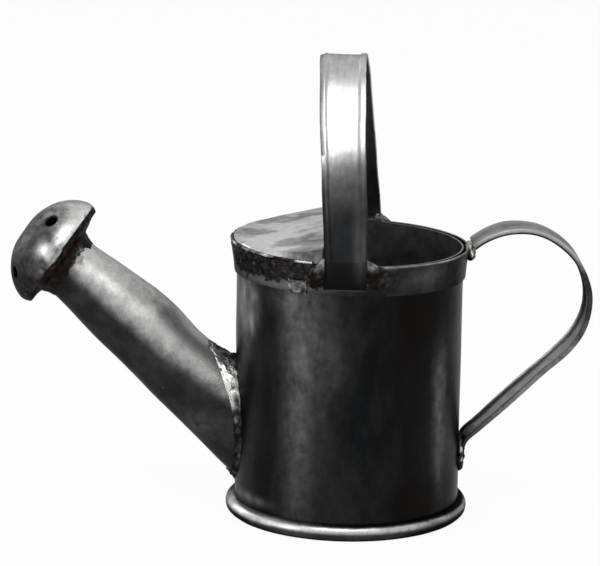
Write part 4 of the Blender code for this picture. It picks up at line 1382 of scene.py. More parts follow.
@dataclass
class Hoop(Assembly):
    """Hoop strap over the mouth with the solder at its feet."""

    rise: float = 0.0722
    spring_rise: float = 0.0017
    crown: float = 0.6
    top_width: float = 0.0176
    foot_width: float = 0.0158
    thickness: float = 0.0009
    hem: float = 0.0005
    hem_width: float = 0.0024
    foot_x: float = 0.0012
    top_x: float = -0.0038
    foot_drop: float = 0.0087
    inner: float = 0.0457

    def build(self) -> None:
        """Build and dress the strap and its solder."""
        self.strap()
        self.solder()

    def path(self) -> np.ndarray:
        """Inner face of the hoop as (y, z), from the near to the far foot."""
        crown = RIM_HEIGHT + self.rise - self.thickness - self.hem
        spring = RIM_HEIGHT + self.spring_rise
        span = math.hypot(1.0, self.crown) - self.crown
        share = np.sin(np.linspace(-math.pi / 2, math.pi / 2, 141))
        drop = (np.hypot(share, self.crown) - self.crown) / span
        arch = np.column_stack([share * (self.inner - CLEARANCE), crown - (crown - spring) * drop])
        low = RIM_HEIGHT - self.foot_drop
        feet = np.linspace(low, spring - (spring - low) * 0.1, 16)
        near = np.column_stack([np.full(16, -self.inner), feet])
        far = np.column_stack([np.full(16, self.inner), feet[::-1]])
        return np.vstack([near, arch, far])

    def strap(self) -> None:
        """The strap, white with wear and a painted highlight at its crown, with painted shade down its legs
        and on faces turned away, painted light on its inner faces, and dark at its feet.
        """
        path = self.path()
        spring = RIM_HEIGHT + self.spring_rise
        rows = []
        for point, way in zip(path, directions(path)):
            share = max(0.0, (point[1] - spring) / (self.rise - self.spring_rise))
            width = self.foot_width + (self.top_width - self.foot_width) * share
            shift = self.foot_x + (self.top_x - self.foot_x) * share
            outline = strap_outline(width, self.thickness, self.hem, self.hem_width, False)
            outline = np.array(dense(outline, 0.0007))
            out = np.array([-way[1], way[0]])
            rows.append(np.column_stack([
                shift + outline[:, 0],
                point[0] + out[0] * outline[:, 1],
                point[1] + out[1] * outline[:, 1],
            ]))
        count = min(len(row) for row in rows)
        rows = [row[:count] for row in rows]
        obj = skin("bail_strap_skin", np.array(rows), False)
        write_points(obj, wobble(read_points(obj), 0.016, 0.00030, 2.0))
        points = read_points(obj)
        lift = (points[:, 2] - RIM_HEIGHT) / self.rise
        shift = self.foot_x + (self.top_x - self.foot_x) * np.clip(lift, 0, 1)
        side = (points[:, 0] - shift) / (self.top_width / 2)
        normals = read_normals(obj)
        outward = np.clip(normals[:, 1] * np.sign(points[:, 1]) + normals[:, 2], 0, 1)
        stroke = points * np.array([1.0, 0.12, 0.12])
        # Painted highlight and painted shade by height: brightest about two thirds of the way up, dark down
        # the legs.
        slanted = lift - 0.035 * side + 0.03 * fractal(points, 0.012, 27.0)
        levels = (0.0, 0.24, 0.31, 0.37, 0.43, 0.48, 0.53, 0.60, 0.68, 0.84, 0.92, 1.0)
        painted_light_tones = (0.0, 0.0, 0.02, 0.05, 0.11, 0.20, 0.40, 0.82, 1.0, 0.92, 0.78, 0.78)
        bright = np.interp(slanted, levels, painted_light_tones)
        # Painted highlight along the fold near one edge.
        bright += 0.05 * np.exp(-((side - 0.62) / 0.25) ** 2) * np.clip(1.2 - lift * 2, 0, 1)
        bright *= 0.92 + 0.18 * fractal(stroke, 0.0012, 7.0)
        # Painted shade on faces turned away from the outside.
        bright = np.clip(bright, 0.0, 1) * (0.3 + 0.7 * outward)
        # Painted light on the inner faces, more on the far leg.
        inside = np.clip(1 - outward * 3, 0, 1)
        far_leg_painted_light = np.clip((lift - 0.1) * 2, 0.25, 0.8) * (points[:, 1] > 0)
        bright = bright * (1 - inside) + inside * (0.12 + 0.5 * far_leg_painted_light)
        # Darker at the feet below the rim; painted shade along one edge of the lower legs.
        burnt_and_shade = np.clip(0.02 - lift, 0, 1) * 8 * (1 - inside)
        burnt_and_shade += np.clip((-side - 0.72) * 8, 0, 0.9) * np.clip((0.5 - lift) * 5, 0, 1)
        self.rack.dress(obj, "strap_tin", ["bail_strap"], bright, burnt_and_shade)

    def solder(self) -> None:
        """Four lumpy fillets at the feet."""
        for foot, side_y in (("near", -1), ("far", 1)):
            for side, side_x in (("left", -1), ("right", 1)):
                x = self.foot_x + side_x * (self.foot_width / 2 + 0.0010)
                y = side_y * math.sqrt(BAND_OUTER ** 2 - x * x)
                turn = math.atan2(y, x) - side_y * math.pi / 2
                name = f"bail_solder_{foot}_{side}"
                seed = 3.0 * side_x + 7.0 * side_y
                obj = self.blob(
                    name + "_skin", Vector((x, y, RIM_HEIGHT - 0.0046)),
                    (0.0054, 0.0017, 0.0050), turn, seed,
                )
                points = read_points(obj)
                away = (points[:, 0] - self.foot_x) * side_x - self.foot_width / 2
                share = np.clip(away / 0.0075, 0, 1)
                points[:, 2] += 0.0024 * (1 - share) ** 2 - 0.0006 * share
                points[:, 1] -= side_y * 0.0010 * share
                write_points(obj, points)
                bright = np.clip(0.04 + fractal(points, 0.0026, seed) * 0.25, 0, 1)
                high = np.clip((points[:, 2] - RIM_HEIGHT + 0.003) / 0.004, 0, 1)
                bright += 0.16 * high * (1 - share)
                burnt_and_shade = np.clip(1.0 - high * 1.2 - fractal(points, 0.004, seed + 2) * 0.6, 0, 1)
                self.rack.dress(obj, "solder", [name], bright, burnt_and_shade * (1 - bright))


@dataclass
class RearHandle(Assembly):
    """Bent strap handle at the back and the solder at its two ends."""

    turn: float = math.radians(6.5)
    width: float = 0.0170
    tab_width: float = 0.0085
    thickness: float = 0.0009
    hem: float = 0.0011
    hem_width: float = 0.0022
    projection: float = 0.0491
    bend_drop: float = 0.0208
    top_rise: float = 0.0072
    top_out: float = 0.0219
    root_rise: float = 0.0004
    root_slope: float = math.radians(40.0)
    knee: tuple[float, float] = (0.0389, 0.0428)
    elbow: tuple[float, float] = (0.0074, 0.0072)
    foot_height: float = 0.0260
    tab_length: float = 0.0065

    def build(self) -> None:
        """Build and dress the handle and its solder."""
        self.strap()
        self.solder()

    def path(self) -> np.ndarray:
        """Outer face of the handle as (reach, height), from the rim to the tab."""
        tab = WALL_RADIUS + CLEARANCE + self.thickness + self.hem / 2
        knee = np.array([WALL_RADIUS + self.knee[0], RIM_HEIGHT - self.knee[1]])
        elbow = np.array([WALL_RADIUS + self.elbow[0], self.foot_height + self.elbow[1]])
        slant = elbow - knee
        knots = [
            ((BAND_OUTER + 2 * CLEARANCE, RIM_HEIGHT + self.root_rise),
             (math.cos(self.root_slope), math.sin(self.root_slope))),
            ((WALL_RADIUS + self.top_out, RIM_HEIGHT + self.top_rise), (1.0, 0.0)),
            ((WALL_RADIUS + self.projection, RIM_HEIGHT - self.bend_drop), (0.0, -1.0)),
            (tuple(knee), tuple(slant)),
            (tuple(elbow), tuple(slant)),
            ((tab, self.foot_height), (-0.05, -1.0)),
            ((tab, self.foot_height - self.tab_length), (0.0, -1.0)),
        ]
        pieces = []
        for (start, leave), (end, arrive) in zip(knots, knots[1:]):
            start, end = np.array(start), np.array(end)
            chord = np.linalg.norm(end - start)
            first = start + np.array(leave) / np.linalg.norm(leave) * chord * 0.36
            second = end - np.array(arrive) / np.linalg.norm(arrive) * chord * 0.36
            share = np.linspace(0, 1, 37)[:-1, None]
            rest = 1 - share
            pieces.append(rest ** 3 * start + 3 * rest ** 2 * share * first
                          + 3 * rest * share ** 2 * second + share ** 3 * end)
        return np.vstack([*pieces, [knots[-1][0]]])

    def strap(self) -> None:
        """The handle strap with its folded edges inwards."""
        path = self.path()
        along = directions(path)
        reach = np.array([math.cos(self.turn), math.sin(self.turn), 0.0])
        across = np.array([-math.sin(self.turn), math.cos(self.turn), 0.0])
        rows = []
        for point, way in zip(path, along):
            taper = min(1.0, max(0.0, (self.foot_height - point[1]) / self.tab_length))
            width = self.width + (self.tab_width - self.width) * taper
            flat = min(1.0, max(0.0, (point[1] - self.foot_height) / (2 * self.elbow[1])))
            hem = self.hem * (0.5 + 0.5 * flat)
            outline = np.array(strap_outline(width, self.thickness, hem, self.hem_width, True))
            out = np.array([-way[1], way[0]])
            place = point + out * (outline[:, 1:] - self.thickness)
            spots = place[:, :1] * reach + outline[:, :1] * across
            spots[:, 2] = place[:, 1]
            rows.append(spots)
        obj = skin("rear_handle_skin", np.array(rows), False)
        divide = obj.modifiers.new("finer", "SUBSURF")
        divide.subdivision_type = "SIMPLE"
        divide.levels = 1
        divide.render_levels = 1
        obj = baked(obj)
        points = read_points(obj)
        # Folded edges: darker lower down, and a painted highlight at the top.
        rim = np.clip((np.abs(points @ across) - self.width / 2 + 0.0015) / 0.0012, 0, 1)
        high = np.clip((points[:, 2] - RIM_HEIGHT + 0.010) / 0.006, 0, 1)
        flat = np.column_stack([points @ reach, points[:, 2]])
        closest = np.array([np.argmin(((path - spot) ** 2).sum(axis=1)) for spot in flat])
        way = along[closest]
        depth = ((flat - path[closest]) * np.column_stack([-way[:, 1], way[:, 0]])).sum(axis=1)
        # Painted shade under the fold at the top.
        under = np.clip((-0.0009 - depth) / 0.0005, 0, 1) * rim
        points = wobble(points, 0.012, 0.00030, 9.0)
        write_points(obj, points)
        length = np.hypot(points[:, 0], points[:, 1])
        bright = washed(points, [
            Wash((0.056, 0.006, 0.112), (0.014, 0.02, 0.008), 0.60),
            Wash((0.074, 0.008, 0.109), (0.012, 0.02, 0.010), 0.30),
            Wash((0.082, 0.008, 0.062), (0.013, 0.02, 0.014), 0.95),
            Wash((0.068, 0.008, 0.048), (0.015, 0.02, 0.012), 1.00),
            Wash((0.054, 0.006, 0.036), (0.010, 0.02, 0.008), 0.60),
        ], 0.10)
        bright *= 0.85 + 0.4 * fractal(points, 0.005, 33.0)
        bright = np.clip(bright, 0, 1) * (1 - 0.5 * rim * (1 - high)) + 0.7 * rim * high
        bright *= 1 - under * high
        rust = washed(points, [
            Wash((0.053, -0.004, 0.0345), (0.005, 0.008, 0.004), 0.5),
            Wash((0.0475, 0.0, 0.104), (0.002, 0.006, 0.003), 0.35),
        ])
        # Darker near the wall, and painted shade under the fold at the top.
        burnt_and_shade = np.clip((WALL_RADIUS + 0.006 - length) / 0.004, 0, 1) * 0.5 + 0.9 * under * high
        self.rack.dress(obj, "band_tin", ["rear_handle"], bright, burnt_and_shade, rust, soft_angle=36.0)

    def solder(self) -> None:
        """Lumps at the root on the band and round the tab on the wall."""
        out = Vector((math.cos(self.turn), math.sin(self.turn), 0.0))
        up = Vector((0.0, 0.0, 1.0))
        places = {
            "handle_top_solder": (
                out * (BAND_OUTER + 0.0002) + up * (RIM_HEIGHT - 0.0030), (0.0018, 0.0096, 0.0033)
            ),
            "handle_foot_solder": (
                out * (WALL_RADIUS + 0.0002) + up * (self.foot_height - 0.0026),
                (0.0020, 0.0096, 0.0074),
            ),
        }
        for number, (name, (centre, size)) in enumerate(places.items()):
            obj = self.blob(name + "_skin", centre, size, self.turn, 17.0 + number, 0.0007)
            points = read_points(obj)
            bright = np.clip(fractal(points, 0.0024, 18.0 + number) * 0.7, 0, 1)
            bright += washed(points, [
                Wash((0.0455, 0.0030, 0.1045), (0.0040, 0.0120, 0.0026), 0.80),
                Wash((0.0460, -0.0050, 0.1025), (0.0030, 0.0020, 0.0012), 0.9),
                Wash((0.0440, -0.0030, 0.0295), (0.0020, 0.0030, 0.0010), 1.0),
                Wash((0.0440, -0.0040, 0.0262), (0.0020, 0.0030, 0.0010), 1.0),
                Wash((0.0440, -0.0038, 0.0222), (0.0020, 0.0020, 0.0006), 0.7),
            ])
            burnt_and_shade = np.clip(0.7 - fractal(points, 0.0045, 28.0 + number) * 1.5, 0, 1)
            rust = np.clip(fractal(points, 0.0035, 38.0 + number) - 0.2, 0, 0.4)
            bright = np.clip(bright, 0, 1)
            clean = 1 - bright
            self.rack.dress(obj, "solder", [name], bright, burnt_and_shade * clean, rust * clean)


# Spout and rose


@dataclass
class SpoutLine:
    """Course and radius of the spout, from its tip down to the wall."""

    root_height: float = 0.0356
    length: float = 0.0852
    slope: float = math.radians(41.3)
    tip_radius: float = 0.0121
    root_radius: float = 0.0166
    shares: tuple[float, ...] = (-0.2, 0.0, 0.106, 0.210, 0.317, 0.400, 0.470, 0.575, 0.716, 1.0, 1.4)
    extra: tuple[float, ...] = (0, 0, 0.0005, 0.0008, 0.0010, 0.0012, 0.0011, 0.0005, 0.0001, 0, 0)
    lift: tuple[float, ...] = (0, 0, 0.0004, 0.0007, 0.0010, 0.0012, 0.0011, 0.0004, 0, 0, 0)

    def matrix(self) -> Matrix:
        """Frame at the spout's tip: +Z runs down to the wall, +Y is its upper side."""
        down = Vector((math.cos(self.slope), 0.0, -math.sin(self.slope)))
        lift = Vector((math.sin(self.slope), 0.0, math.cos(self.slope)))
        turn = Matrix((lift.cross(down), lift, down)).transposed().to_4x4()
        root = Vector((-WALL_RADIUS, 0.0, self.root_height))
        return Matrix.Translation(root - down * self.length) @ turn

    def softened(self, share: np.ndarray, values: tuple[float, ...]) -> np.ndarray:
        """Values between the stations, with their corners rounded."""
        step = 0.03
        return sum(np.interp(share + step * i, self.shares, values) for i in range(-2, 3)) / 5

    def surface(self, along: np.ndarray, angle: np.ndarray, grow: float) -> np.ndarray:
        """Points of the skin, grown by a distance.

        Args:
            along: Distance from the tip.
            angle: Turn round the spout, 0 at its far side and 90 degrees on top.
            grow: Distance outside the skin.

        Returns:
            Places about the body's axis, one in each row.
        """
        share = along / self.length
        radius = self.tip_radius + (self.root_radius - self.tip_radius) * share
        radius = radius + self.softened(share, self.extra) + grow
        local = np.column_stack([
            radius * np.cos(angle), self.softened(share, self.lift) + radius * np.sin(angle), along
        ])
        return moved(local, self.matrix())

    def local(self, points: np.ndarray) -> np.ndarray:
        """Places in the spout's own frame: across, up and along."""
        matrix = self.matrix()
        return (points - np.array(matrix.translation)) @ np.array(matrix.to_3x3())

    def reach(self, angle: np.ndarray, grow: float, test: Callable[[np.ndarray], np.ndarray],
              low: float, high: float) -> np.ndarray:
        """Distance along the skin at which a test turns true, for each angle.

        Args:
            angle: Turns round the spout.
            grow: Distance outside the skin.
            test: Says for each place whether it lies past the limit.
            low: Distance at which the test is false.
            high: Distance at which the test is true.

        Returns:
            One distance for each angle.
        """
        near = np.full(len(angle), low)
        far = np.full(len(angle), high)
        for _ in range(30):
            middle = (near + far) / 2
            past = test(self.surface(middle, angle, grow))
            far = np.where(past, middle, far)
            near = np.where(past, near, middle)
        return (near + far) / 2


@dataclass
class RoseLine:
    """Frame and sizes of the rose."""

    radius: float = 0.0224
    depth: float = 0.0172
    skirt: float = 0.0014
    back_drop: float = 0.0026
    back_edge: float = 0.0004
    bore: float = 0.0100
    seat: float = 0.0064
    lift: float = 0.0012
    droop: float = math.radians(6.4)

    def matrix(self) -> Matrix:
        """Frame at the rose's rim: +Z points out of its dome."""
        line = SpoutLine()
        elevation = line.slope - self.droop
        out = Vector((-math.cos(elevation), 0.0, math.sin(elevation)))
        up = Vector((math.sin(elevation), 0.0, math.cos(elevation)))
        turn = Matrix((up, out.cross(up), out)).transposed().to_4x4()
        centre = line.matrix() @ Vector((0.0, self.lift, -self.seat))
        return Matrix.Translation(centre) @ turn

    def local(self, points: np.ndarray) -> np.ndarray:
        """Places in the rose's own frame."""
        return moved(points, self.matrix().inverted())

    def placed(self, points: np.ndarray) -> np.ndarray:
        """Places from the rose's own frame to the body's axis."""
        return moved(points, self.matrix())

    def back_height(self, radius: np.ndarray) -> np.ndarray:
        """Height of the back plate's rear face at a radius."""
        edge = self.radius - SHEET - CLEARANCE
        slope = (self.back_drop - self.back_edge) / (edge - self.bore)
        return -self.back_drop - SHEET + slope * (radius - self.bore)


@dataclass
class Spout(Assembly):
    """Tapered spout and the solder round its root."""

    line: SpoutLine = field(default_factory=SpoutLine)
    rose: RoseLine = field(default_factory=RoseLine)
    dip_place: float = 0.0525
    dip_length: float = 0.0090
    dip_depth: float = 0.0010
    near_angle: float = math.radians(130)
    top_angle: float = math.radians(95)

    def build(self) -> None:
        """Build and dress the tube and its solder."""
        self.tube()
        self.root_solder()

    def at_wall(self, points: np.ndarray) -> np.ndarray:
        """Whether each place lies within reach of the wall's outer face."""
        return np.hypot(points[:, 0], points[:, 1]) < WALL_RADIUS + CLEARANCE

    def to_wall(self, angle: np.ndarray, grow: float) -> np.ndarray:
        """Distance along the skin at which it meets the wall."""
        return self.line.reach(angle, grow, self.at_wall, 0.03, self.line.length * 1.35)

    def to_rose(self, angle: np.ndarray, grow: float) -> np.ndarray:
        """Distance along the skin at which it leaves the rose's back plate."""
        return self.line.reach(angle, grow, self.behind_rose, -0.02, 0.03)

    def behind_rose(self, points: np.ndarray) -> np.ndarray:
        """Whether each place lies behind the rose's back plate."""
        local = self.rose.local(points)
        radius = np.hypot(local[:, 0], local[:, 1])
        return local[:, 2] < self.rose.back_height(radius) - CLEARANCE

    def topside(self, points: np.ndarray) -> np.ndarray:
        """How far each place lies on the spout's ridge, from 0 to 1."""
        origin = np.array(self.line.matrix().translation)
        lift = np.array(self.line.matrix().to_3x3())[:, 1]
        return np.clip(((points - origin) @ lift / self.line.root_radius - 0.88) / 0.10, 0, 1)

    def settled(self, points: np.ndarray) -> np.ndarray:
        """Places moved with the spout's dents, so that its solder follows its skin."""
        points = wobble(points, 0.014, 0.00035, 15.0)
        local = self.line.local(points)
        dip = np.exp(-((local[:, 2] - self.dip_place) / self.dip_length) ** 2)
        dip *= np.clip(local[:, 1] / 0.0165, 0, 1) ** 4
        return points - self.dip_depth * dip[:, None] * np.array(self.line.matrix().to_3x3())[:, 1]

    def tube(self) -> None:
        """The tube, with a painted highlight along its top and painted shade below."""
        angle = full_turn(144)
        skins = []
        for grow in (0.0, -SHEET):
            start = self.to_rose(angle, grow)
            end = self.to_wall(angle, grow)
            share = np.linspace(0, 1, 130)
            skins.append(np.array([
                self.line.surface(start + (end - start) * s, angle, grow) for s in share
            ]))
        rows = np.concatenate([skins[0], skins[1][::-1]])
        obj = skin("spout_tube_skin", rows, True)
        points = self.settled(read_points(obj))
        write_points(obj, points)
        local = self.line.local(points)
        height = local[:, 1] / 0.0130
        share = local[:, 2] / self.line.length
        # Painted highlight along the upper side, softer on the ridge and fading towards the wall.
        edge = -0.12 + 0.18 * share + 0.65 * np.clip(share - 0.55, 0, 1)
        top = np.clip((height - edge) / 0.62, 0, 1)
        top = top * top * (3 - 2 * top)
        crest = np.clip((height - 0.80) / 0.3, 0, 1)
        bright = top * (1.0 - 0.40 * share) * (1 - 0.35 * crest * np.clip(share * 2, 0.3, 1))
        bright *= 0.92 + 0.16 * fractal(points, 0.004, 3.0) + 0.10 * fractal(points, 0.0012, 3.0)
        bright += washed(points, [
            Wash((-0.1002, -0.0084, 0.0976), (0.0030, 0.0030, 0.0030), 0.9),
            Wash((-0.1009, -0.0108, 0.0945), (0.0024, 0.0030, 0.0024), 0.7),
            Wash((-0.0560, -0.0136, 0.0345), (0.007, 0.006, 0.006), 0.06),
            Wash((-0.0600, -0.0050, 0.0680), (0.012, 0.008, 0.009), 0.45),
            Wash((-0.0500, -0.0060, 0.0600), (0.008, 0.008, 0.007), 0.35),
        ])
        # Scorched near the rose, except on top; painted shade on the underside.
        below = np.clip((-0.05 - height) / 0.5, 0, 1)
        burnt_and_shade = np.clip((0.08 - share) / 0.08, 0, 1) * 0.8 * (1 - top) + 0.10 * below
        rust = np.clip((0.05 - share) / 0.04, 0, 1) * np.clip(fractal(points, 0.003, 8.0), 0, 0.4)
        self.rack.dress(obj, "spout_tin", ["spout_tube"], bright, burnt_and_shade, rust)

    def root_solder(self) -> None:
        """Lumpy fillet between the spout and the wall, widest on top and on the near side."""
        angle = full_turn(280)
        uneven = ring_noise(angle, 5.0)
        near = np.exp(-((angle - self.near_angle) / 0.50) ** 2)
        top = np.exp(-((angle - self.top_angle) / 0.45) ** 2)
        up_spout = 0.0020 + 0.0016 * uneven + 0.0056 * near + 0.0090 * top
        on_wall = 0.0012 + 0.0006 * uneven + 0.0012 * near + 0.0012 * top
        root = self.to_wall(angle, 0.0)
        wide = self.to_wall(angle, 0.0030)
        inner = self.line.surface(root + 0.0003, angle, -0.0002)
        buried = self.line.surface(root - up_spout - 0.0004, angle, -0.0004)
        on_skin = self.line.surface(root - up_spout, angle, 0.00030)
        away = self.line.surface(wide, angle, 0.0030) - inner
        away /= np.linalg.norm(away, axis=1)[:, None]
        on_sheet = inner + away * (on_wall + 0.0005)[:, None]
        reach = np.hypot(on_sheet[:, 0], on_sheet[:, 1])
        on_sheet[:, :2] *= ((WALL_RADIUS - 0.0001) / reach)[:, None]
        rows = [buried]
        for share in np.linspace(0, 1, 21):
            spot = on_skin * (1 - share) + on_sheet * share
            hollow = 0.30 * math.sin(math.pi * share)
            rows.append(spot + (inner - spot) * hollow * top[:, None])
        rows.append(inner)
        obj = skin("spout_root_solder_skin", np.array(rows).transpose(1, 0, 2), True)
        write_points(obj, self.settled(read_points(obj)))
        lump(obj, 0.0030, 0.00028, 6.0)
        lump(obj, 0.0011, 0.00018, 16.0)
        obj = self.crumbled(obj, 0.12 + 0.88 * self.topside(read_points(obj)), 5, {
            "Density": 260000.0, "Smallest": 0.00020, "Largest": 0.00070,
        })
        points = read_points(obj)
        lit = washed(points, [
            Wash((-0.0485, -0.0105, 0.0580), (0.0060, 0.0060, 0.0055), 1.0),
            Wash((-0.0455, -0.0130, 0.0500), (0.0055, 0.0060, 0.0070), 1.0),
            Wash((-0.0455, -0.0150, 0.0435), (0.0040, 0.0050, 0.0040), 0.8),
            Wash((-0.0510, -0.0080, 0.0640), (0.0080, 0.0070, 0.0050), 0.8),
        ]) * (1 - 0.45 * self.topside(points))
        pitted = np.clip(fractal(points, 0.0013, 56.0) * 2.2 - 0.5, 0, 0.8)
        bright = np.clip(fractal(points, 0.0030, 26.0) * 0.5 + 0.90 * lit - pitted, 0, 1)
        burnt_and_shade = np.clip(0.95 - fractal(points, 0.005, 36.0) - lit, 0, 1) * (1 - bright)
        rust = np.clip(fractal(points, 0.004, 46.0) * 2 - 0.6, 0, 0.4) * (1 - bright)
        self.rack.dress(obj, "solder", ["spout_root_solder"], bright, burnt_and_shade, rust)


@dataclass
class Rose(Assembly):
    """Domed rose with its holes, its back plate and the solder behind it."""

    line: RoseLine = field(default_factory=RoseLine)
    hole_radius: float = 0.00225
    hole_ring: float = 0.0178
    hole_start: float = math.radians(42.0)
    hole_count: int = 4

    def build(self) -> None:
        """Build and dress the rose."""
        self.dome()
        self.back()
        self.neck_solder()

    def hole_places(self) -> list[tuple[np.ndarray, np.ndarray]]:
        """Place and outward normal of each hole in the rose's own frame."""
        rings = [(0.0, 0.0)] + [
            (self.hole_ring, self.hole_start + 2 * math.pi * i / self.hole_count)
            for i in range(self.hole_count)
        ]
        places = []
        for ring, angle in rings:
            height = self.line.depth * math.sqrt(1 - (ring / self.line.radius) ** 2)
            way = np.array([
                ring * math.cos(angle) / self.line.radius ** 2,
                ring * math.sin(angle) / self.line.radius ** 2,
                height / self.line.depth ** 2,
            ])
            spot = np.array([ring * math.cos(angle), ring * math.sin(angle), height])
            places.append((spot, way / np.linalg.norm(way)))
        return places

    def dome(self) -> None:
        """Punched dome with a rough, chipped edge, painted highlights on its near upper side and painted
        shade low down.
        """
        loop = []
        radius, depth = self.line.radius, self.line.depth
        for i in range(41):
            angle = math.pi / 2 * i / 40
            loop.append((radius * math.cos(angle), depth * math.sin(angle)))
        for i in range(41):
            angle = math.pi / 2 * (1 - i / 40)
            loop.append(((radius - SHEET) * math.cos(angle), (depth - SHEET) * math.sin(angle)))
        skirt = self.line.skirt
        loop += [(radius - SHEET, -skirt), (radius, -skirt)]
        obj = self.turned("rose_dome_skin", dense(loop, 0.0006), {"Around": 220, "Seed": 2.0})
        points = read_points(obj)
        curl = np.clip((0.0030 - points[:, 2]) / (0.0030 + skirt), 0, 1) ** 2
        points[:, :2] *= (1 - 0.058 * curl)[:, None]
        for spot, way in self.hole_places():
            away = np.linalg.norm(points - spot, axis=1)
            points -= way * (0.0006 * np.exp(-(away / 0.0032) ** 2))[:, None]
        rough = fractal(points, 0.0016, 5.0)
        edge = np.clip((0.0012 - points[:, 2]) / 0.0026, 0, 1)
        out = points.copy()
        out[:, 2] = 0
        out /= np.maximum(np.linalg.norm(out, axis=1), 1e-6)[:, None]
        points += out * (edge * rough * 0.00012)[:, None]
        points[:, 2] += edge * fractal(points, 0.0040, 7.0) * 0.00025
        write_points(obj, wobble(points, 0.009, 0.00030, 4.0))
        bm = bmesh.new()
        for spot, way in self.hole_places():
            turn = Vector((0, 0, 1)).rotation_difference(Vector(way)).to_matrix().to_4x4()
            bmesh.ops.create_cone(
                bm, cap_ends=True, segments=40, radius1=self.hole_radius,
                radius2=self.hole_radius, depth=0.006, matrix=Matrix.Translation(spot) @ turn,
            )
        for vert in bm.verts:
            vert.co += Vector(noise.noise_vector(vert.co * 700)) * 0.00012
        obj = cut(obj, from_bmesh("holes", bm))
        local = read_points(obj)
        write_points(obj, self.line.placed(local))
        points = read_points(obj)
        near_rim = np.clip((0.0045 - local[:, 2]) / 0.004, 0, 1)
        patchy = fractal(local, 0.0035, 13.0)
        inner = np.linalg.norm(local / np.array([radius, radius, depth]), axis=1) < 0.982
        # Painted highlights on the near upper side, and bright metal in patches along the rim.
        bright = washed(points, [
            Wash((-0.1067, -0.0178, 0.1094), (0.0034, 0.006, 0.0036), 1.0),
            Wash((-0.1037, -0.0153, 0.1113), (0.0030, 0.006, 0.0026), 0.7),
            Wash((-0.1139, -0.0208, 0.1028), (0.0026, 0.006, 0.0024), 0.8),
            Wash((-0.1090, -0.0212, 0.1035), (0.0050, 0.006, 0.0030), 0.25),
            Wash((-0.1000, -0.0080, 0.1140), (0.0060, 0.010, 0.0045), 0.75),
            Wash((-0.1065, -0.0020, 0.1180), (0.0090, 0.012, 0.0050), 0.45),
            Wash((-0.1150, 0.0120, 0.1120), (0.012, 0.012, 0.010), 0.30),
        ], 0.05) + 0.7 * np.clip(patchy + 0.5, 0, 1) * near_rim * (local[:, 0] > -0.008)
        # Painted shade towards the bottom of the dome.
        low = np.clip((0.0995 - points[:, 2]) / 0.008, 0, 1)
        bright = bright * (1 - 0.95 * low)
        burnt_and_shade = np.clip(near_rim * (patchy - 0.35), 0, 1) * 0.5 + 0.50 * low
        burnt_and_shade += washed(points, [
            Wash((-0.1145, -0.0208, 0.0985), (0.0014, 0.006, 0.0012), 0.8),
            Wash((-0.1093, -0.0212, 0.1031), (0.0010, 0.006, 0.0010), 0.8),
            Wash((-0.1190, -0.0060, 0.1060), (0.0050, 0.010, 0.0100), 0.25),
        ])
        rust = np.clip((fractal(local, 0.0022, 23.0) - 0.35) * 3, 0, 0.6) * near_rim
        bright[inner] = 0.0
        burnt_and_shade[inner] = 0.8
        self.rack.dress(obj, "rose_tin", ["rose_dome"], bright, burnt_and_shade, rust)

    def back(self) -> None:
        """Back plate, scorched brown-black."""
        edge = self.line.radius - SHEET - CLEARANCE - 0.0011
        bore = self.line.bore
        drop = self.line.back_drop
        loop = [(edge, -self.line.back_edge), (bore, -drop), (bore, -drop - SHEET),
                (edge, -self.line.back_edge - SHEET)]
        obj = self.turned("rose_back_skin", dense(loop, 0.0006), {"Around": 160, "Seed": 3.0})
        lump(obj, 0.003, 0.00015, 3.0)
        write_points(obj, self.line.placed(read_points(obj)))
        points = read_points(obj)
        rust = np.clip(0.15 + fractal(points, 0.004, 9.0) * 0.6, 0, 0.5)
        self.rack.dress(obj, "rose_plate", ["rose_back"], rust=rust)

    def neck_solder(self) -> None:
        """Rough fillet between the spout and the rose's back."""
        line = SpoutLine()
        spout = Spout(self.shop, self.rack)
        angle = full_turn(240)
        uneven = ring_noise(angle, 15.0)
        seat = spout.to_rose(angle, 0.0)
        down = 0.0042 + 0.0014 * uneven
        on_skin = line.surface(seat + down, angle, -0.00015)
        inner = line.surface(seat - 0.0003, angle, -0.0003)
        local = self.line.local(inner)
        radius = np.hypot(local[:, 0], local[:, 1])
        wide = radius + 0.0022 + 0.0007 * uneven
        rim = local * (wide / radius)[:, None]
        rim[:, 2] = self.line.back_height(wide) + 0.0002
        rim = self.line.placed(rim)
        rows = []
        for share in np.linspace(0, 1, 15):
            spot = on_skin * (1 - share) + rim * share
            rows.append(spot + (inner - spot) * 0.14 * math.sin(math.pi * share))
        rows.append(inner)
        obj = skin("rose_neck_solder_skin", np.array(rows).transpose(1, 0, 2), True)
        lump(obj, 0.0030, 0.00028, 61.0)
        lump(obj, 0.0011, 0.00012, 62.0)
        obj = self.crumbled(obj, np.full(len(obj.data.vertices), 1.0), 9, {
            "Density": 90000.0, "Smallest": 0.00016, "Largest": 0.00040,
        })
        points = read_points(obj)
        bright = washed(points, [
            Wash((-0.1010, -0.0095, 0.0982), (0.0026, 0.0044, 0.0034), 1.3),
            Wash((-0.1014, -0.0115, 0.0948), (0.0024, 0.0036, 0.0026), 1.1),
        ]) * np.clip(0.75 + fractal(points, 0.0015, 63.0) * 1.5, 0, 1)
        rust = np.clip(fractal(points, 0.003, 64.0) * 0.5, 0, 0.3)
        rust += washed(points, [Wash((-0.1026, -0.0124, 0.0979), (0.0010, 0.0020, 0.0010), 0.9)])
        burnt_and_shade = np.clip(0.75 - fractal(points, 0.004, 65.0) * 0.5, 0, 1)
        clean = 1 - bright
        self.rack.dress(obj, "burnt_crust", ["rose_neck_solder"], bright, burnt_and_shade * clean, rust * clean)


# Studio


